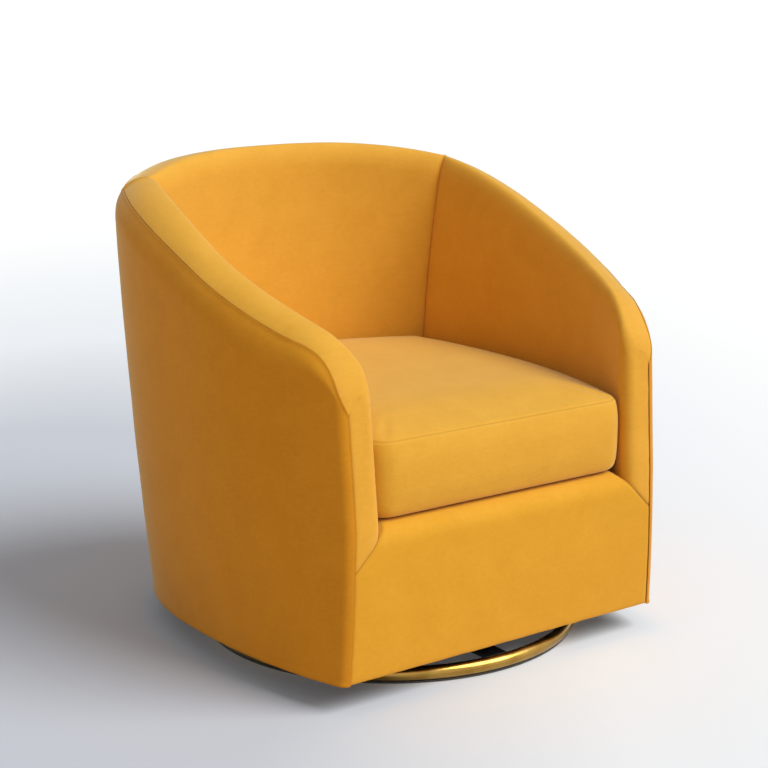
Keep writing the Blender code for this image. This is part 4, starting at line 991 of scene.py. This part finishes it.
# Powder-coated flat steel: satin black with the fine orange peel of baked powder, greyer where it is scuffed
powderCoat = newMaterial("black_powder_coat", {
    "values": {"Specular IOR Level": 0.45},
    "patterns": {
        "peel": (0.0016, 2, 0.5),
        "scuffs": ((0.012, 0.05, 0.05), 5, 0.7),
    },
    "tones": ("scuffs", ((0.3, "17181A"), (0.62, "1F2022"), (0.8, "38393B"))),
    "roughness": ("scuffs", 0.36, 0.6), "relief": (("peel", 0.00012, 0.6),),
})

# Zinc-plated pressed steel: pale blue-grey passivation with straw-coloured clouds, fine rolling lines and
# small dull spots
zincPlate = newMaterial("zinc_plate", {
    "values": {"Metallic": 1},
    "patterns": {
        "clouds": (0.03, 4, 0.6, 0.8),
        "lines": ((0.03, 0.0006, 0.0006), 3, 0.6),
        "spots": (0.0022, 3, 0.7),
        "dulled": ("Mix", {0: 0.5, 2: "lines", 3: "spots"}),
    },
    "tones": ("clouds", ((0.3, "A9B0B8"), (0.5, "BBBDBD"), (0.68, "C6BFA6"))),
    "roughness": ("dulled", 0.24, 0.5), "relief": (("lines", 0.00003, 0.5),),
})

# Oil-tempered spring wire: dark blue-brown steel with drawing lines and a film of oil that changes its gloss
springSteel = newMaterial("oiled_spring_steel", {
    "values": {"Metallic": 1},
    "patterns": {
        "oil": (0.015, 4, 0.6),
        "drawn": ((0.0005, 0.02, 0.0005), 2, 0.5),
    },
    "tones": ("oil", ((0.3, "4B4844"), (0.5, "5E6064"), (0.7, "6E6455"))),
    "roughness": ("oil", 0.25, 0.55), "relief": (("drawn", 0.00003, 0.4),),
})

# Planed softwood: pale yellow-brown, growth rings running along the piece, darker late wood, fine pores, a
# little dirt, and dull as planed wood is
softwoods = {name: newMaterial("softwood_" + name, {
    "values": {"Specular IOR Level": 0.3},
    "patterns": {
        "bent": (lengthwise(0.018, 0.5, axis), 3, 0.5, 0.4),
        "many": ("Math", {0: "bent", 1: 9.0}, {"operation": "MULTIPLY"}),
        "rings": ("Math", {0: "many", 1: 0.5}, {"operation": "PINGPONG"}),
        "pores": (lengthwise(0.0009, 0.018, axis), 3, 0.6),
        "grain": ("Mix", {0: 0.3, 2: "rings", 3: "pores"}),
    },
    "tones": ("grain", ((0.12, "D9B985"), (0.3, "CFA873"), (0.48, "B88A55"), (0.62, "A57746"))),
    "roughness": ("grain", 0.62, 0.82), "relief": (("grain", 0.0002, 0.4),),
}) for name, axis in (("across", 0), ("upright", 2))}

# Bent plywood: pale birch faces with long fine grain, and stacked veneers 1.8 mm thick showing as thin brown
# glue lines on the edges
plywoods = {name: newMaterial("plywood_" + name, {
    "values": {"Specular IOR Level": 0.3},
    "patterns": {
        "grain": (lengthwise(0.006, 0.22, axis), 4, 0.6, 0.3),
        "height": ("SeparateXYZ", {"Vector": "place"}, {}, stacked),
        "layer": ("Math", {0: "height", 1: 0.0018}, {"operation": "PINGPONG"}),
        "share": ("Math", {0: "layer", 1: 0.0018}, {"operation": "DIVIDE"}),
        "seam": ("ValToRGB", {"Fac": "share"}, {"stops": ((0.0, 1.0), (0.12, 0.5), (0.22, 0.0))}),
    },
    "tones": ("grain", ((0.3, "C29A66"), (0.5, "D3AF7C"), (0.7, "DEC08F"))), "seam": "9A7042",
    "roughness": ("grain", 0.6, 0.8), "relief": (("grain", 0.00015, 0.4),),
}) for name, axis, stacked in (("across", 0, 2), ("long", 1, 2), ("board", 1, 0))}

# Black elastic webbing: ribs across the strap over woven rubber threads, with paler threads showing through
webbing = newMaterial("elastic_webbing_weave", {
    "values": {"Sheen Weight": 0.15},
    "patterns": {
        "ribs": ("TexWave", {"size": 0.0024 * 3.2, "Distortion": 0.4, "Detail": 2},
                 {"wave_type": "BANDS", "bands_direction": "X"}, "Fac"),
        "threads": ((0.004, 0.004, 0.0008), 3, 0.6),
        "weave": ("Mix", {0: 0.5, 2: "ribs", 3: "threads"}),
    },
    "tones": ("weave", ((0.25, "121212"), (0.6, "2B2A29"), (0.85, "5A564F"))),
    "roughness": ("threads", 0.75, 0.95), "relief": (("weave", 0.0004, 0.7),),
})

# Grey needled felt on the seat deck: mixed light and dark fibres, needle marks, soft uneven surface
felt = newMaterial("needled_felt", {
    "values": {"Sheen Weight": 0.2, "Sheen Roughness": 0.6, "Specular IOR Level": 0.15},
    "patterns": {
        "fibres": ((0.0012, 0.006, 0.004), 4, 0.7, 1.5),
        "clouds": (0.02, 3, 0.6),
        "needles": ("TexVoronoi", {"size": 0.004}, {}, "Distance"),
        "matted": ("Mix", {0: 0.35, 2: "fibres", 3: "clouds"}),
    },
    "tones": ("matted", ((0.3, "6B6862"), (0.5, "8D8A83"), (0.7, "B3AFA6"))),
    "roughness": ("clouds", 0.85, 1.0), "relief": (("needles", 0.0003, 0.4), ("fibres", 0.0005, 0.6)),
})

# Black non-woven dust cloth: matted fibres pressed in a grid of small dots, slightly shiny where pressed
nonWoven = newMaterial("non_woven_cloth", {
    "values": {"Specular IOR Level": 0.3},
    "patterns": {
        "fibres": ((0.0015, 0.005, 0.005), 4, 0.7, 2.0),
        "dots": ("TexVoronoi", {"size": 0.0035, "Randomness": 0.1}, {}, "Distance"),
        "pressed": ("ValToRGB", {"Fac": "dots"}, {"stops": ((0.15, 0.0), (0.32, 1.0))}),
    },
    "tones": ("fibres", ((0.3, "111112"), (0.5, "1B1B1C"), (0.7, "2E2E2F"))),
    "roughness": ("pressed", 0.5, 0.9), "relief": (("fibres", 0.0002, 0.6), ("pressed", 0.0003, 0.6)),
})

# Soft smoky plastic strip under the ring, dulled by dust and fine scratches from the floor
glidePlastic = newMaterial("smoky_glide_plastic", {
    "values": {"Subsurface Weight": 0.2},
    "patterns": {
        "dust": (0.012, 4, 0.6),
        "scratches": ((0.02, 0.0008, 0.0008), 3, 0.7),
    },
    "tones": ("dust", ((0.3, "3E3C38"), (0.55, "4C4A45"), (0.75, "5F5D57"))),
    "roughness": ("scratches", 0.3, 0.6), "relief": (("scratches", 0.00006, 0.5),),
})

covered = {
    "outside_cover": (outside, "seat", "yellow_upholstery", velvets["outside"], 0.9),
    "arm_cover_right": (arms[0], "seat", "yellow_upholstery", velvets["lining"], 0.9),
    "arm_cover_left": (arms[1], "seat", "yellow_upholstery", velvets["lining"], 0.9),
    "inside_back_cover": (insideBack, "seat", "yellow_upholstery", velvets["lining"], 0.9),
    "front_border": (frontPanel, "seat", "yellow_upholstery", velvets["border"], 0.9),
    "seat_cushion": (seatPad, "cushion", "yellow_cushion", velvets["cushion"], 0.85),
    "seat_deck": (deckPad, "seat", "grey_felt", felt, 0.95),
    "dust_cover": (dustPiece, "seat", "black_dust_cloth", nonWoven, None),
    "base_ring": (brassRing, "base", "brass_plated_steel", brassPlate, None),
}
for node, (piece, bodyName, slot, material, fill) in covered.items():
    piece.data.materials.clear()
    piece.data.materials.append(material)
    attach(piece, bodyName)
    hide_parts(node)

# The CAD pieces that keep their own mesh, by how their names start; wood runs along each piece
finishGroups = (
    (glidePlastic, "base_glide"), (powderCoat, "base_spider"), (webbing, "back_web"),
    (zincPlate, "swivel", "seat_bolt", "spring_clip"), (springSteel, "seat_spring", "spring_tie"),
    (softwoods["across"], "mount_board", "front_bottom_rail", "front_seat_rail"),
    (softwoods["upright"], "back_slat", "front_post", "back_post", "corner_block"),
    (plywoods["across"], "bottom_rail", "back_top_rail", "seat_rail_back"),
    (plywoods["long"], "arm_rail", "seat_rail"), (plywoods["board"], "arm_board"),
)
finishes = {start: material for material, *starts in finishGroups for start in starts}
for name, node in nodes.items():
    if name in covered:
        finish = covered[name][3]
    else:
        finish = finishes[max((start for start in finishes if name.startswith(start)), key=len)]
    for slot in node.material_slots:
        slot.material = finish
print("stage: materials")


# Floor, backdrop and light

studio = {
    "floorSize": 300, "floorGlow": ((0.25, 0.05), (0.5, 0.12)), "floorBounce": "DFC7A4", "paperTooth": 0.003,
    "world": 0.33, "worldColour": "FCFAF6",
    # Painted shade on the floor: the tones darken and turn bluer towards a broad patch just left of the chair
    "paintedShadePlace": (-0.62, 0.36, 0), "paintedShadeTurn": math.radians(-36.4), "paintedShadeReach": (5, 11, 1),
    "floorTones": ((0.0, "C0C6D2"), (0.12, "C5CAD5"), (0.17, "DADEE6"), (0.22, "EBEFF6"), (0.30, "F1F4FA"),
                   (0.42, "F9FAFC"), (1.0, "FDFDFD")),
    "keyAzimuth": -56, "keyHeight": 46, "keyAngle": 40, "keyStrength": 2.75, "keyColour": "FDFFFD",
    "keyDistance": 5,
}


def shownRays(tree):
    # 1 where a surface is seen, directly, mirrored or through glass, and 0 for the light that it gives
    rays = addNode(tree, "LightPath").node.outputs
    shown = rays["Is Camera Ray"]
    for ray in ("Is Glossy Ray", "Is Transmission Ray"):
        shown = addNode(tree, "Math", {0: shown, 1: rays[ray]}, {"operation": "MAXIMUM"})
    return shown


bpy.ops.object.select_all(action="DESELECT")
bpy.ops.mesh.primitive_plane_add(size=studio["floorSize"], location=(0, 0, 0))
floor = bpy.context.object
floor.name = "studio_floor"
# Seamless studio paper: near white with a barely visible tooth, and painted shade, greyer and bluer, in a broad
# patch just left of the chair. The glow on seen rays grows away from that patch.
floorPaper = bpy.data.materials.new("studio_paper")
floorPaper.use_nodes = True
tree = floorPaper.node_tree
place = addNode(tree, "TexCoord", output="Object")
# Distance from the centre of the painted shade patch on the floor
paintedShadeSpot = addNode(tree, "Mapping", {
    "Vector": place, "Location": studio["paintedShadePlace"], "Rotation": (0, 0, studio["paintedShadeTurn"]),
    "Scale": studio["paintedShadeReach"]}, {"vector_type": "TEXTURE"})
away = addNode(tree, "VectorMath", {0: paintedShadeSpot}, {"operation": "LENGTH"}, "Value")
tooth = addNode(tree, "TexNoise", {"Vector": place, "Scale": 1 / studio["paperTooth"], "Detail": 3,
                                   "Roughness": 0.55})
tone = addNode(tree, "ValToRGB", {"Fac": away}, {"stops": studio["floorTones"]})
glow = addNode(tree, "ValToRGB", {"Fac": away}, {"stops": studio["floorGlow"]})
shown = shownRays(tree)
fillSockets(tree.nodes["Principled BSDF"], {
    "Specular IOR Level": 0.1, "Roughness": addNode(tree, "Mix", {0: tooth, 2: 0.85, 3: 0.95}),
    "Base Color": addNode(tree, "Mix", {0: shown, 6: studio["floorBounce"], 7: tone}, {"data_type": "RGBA"}, 2),
    "Emission Color": "FFFFFF",
    "Emission Strength": addNode(tree, "Math", {0: shown, 1: glow}, {"operation": "MULTIPLY"})})
floor.data.materials.append(floorPaper)

world = bpy.data.worlds.new("studio")
scene.world = world
world.use_nodes = True
tree = world.node_tree
shown = shownRays(tree)
fillSockets(tree.nodes["Background"], {
    "Color": addNode(tree, "Mix", {0: shown, 6: studio["worldColour"], 7: "FFFFFF"}, {"data_type": "RGBA"}, 2),
    "Strength": addNode(tree, "Mix", {0: shown, 2: studio["world"], 3: 1.0})})

lamp = bpy.data.lights.new("key", "SUN")  # wide and soft, as from a large window; its azimuth is from +X
lamp.angle = math.radians(studio["keyAngle"])
lamp.energy = studio["keyStrength"]
lamp.color = linearColour(studio["keyColour"])[:3]
lampObject = addToScene("key", lamp)
azimuth, height = math.radians(studio["keyAzimuth"]), math.radians(studio["keyHeight"])
aim = Vector((math.cos(azimuth) * math.cos(height), math.sin(azimuth) * math.cos(height), math.sin(height)))
lampObject.location = aim * studio["keyDistance"]
lampObject.rotation_euler = aim.to_track_quat("Z", "Y").to_euler()

scene.view_settings.view_transform = "Standard"
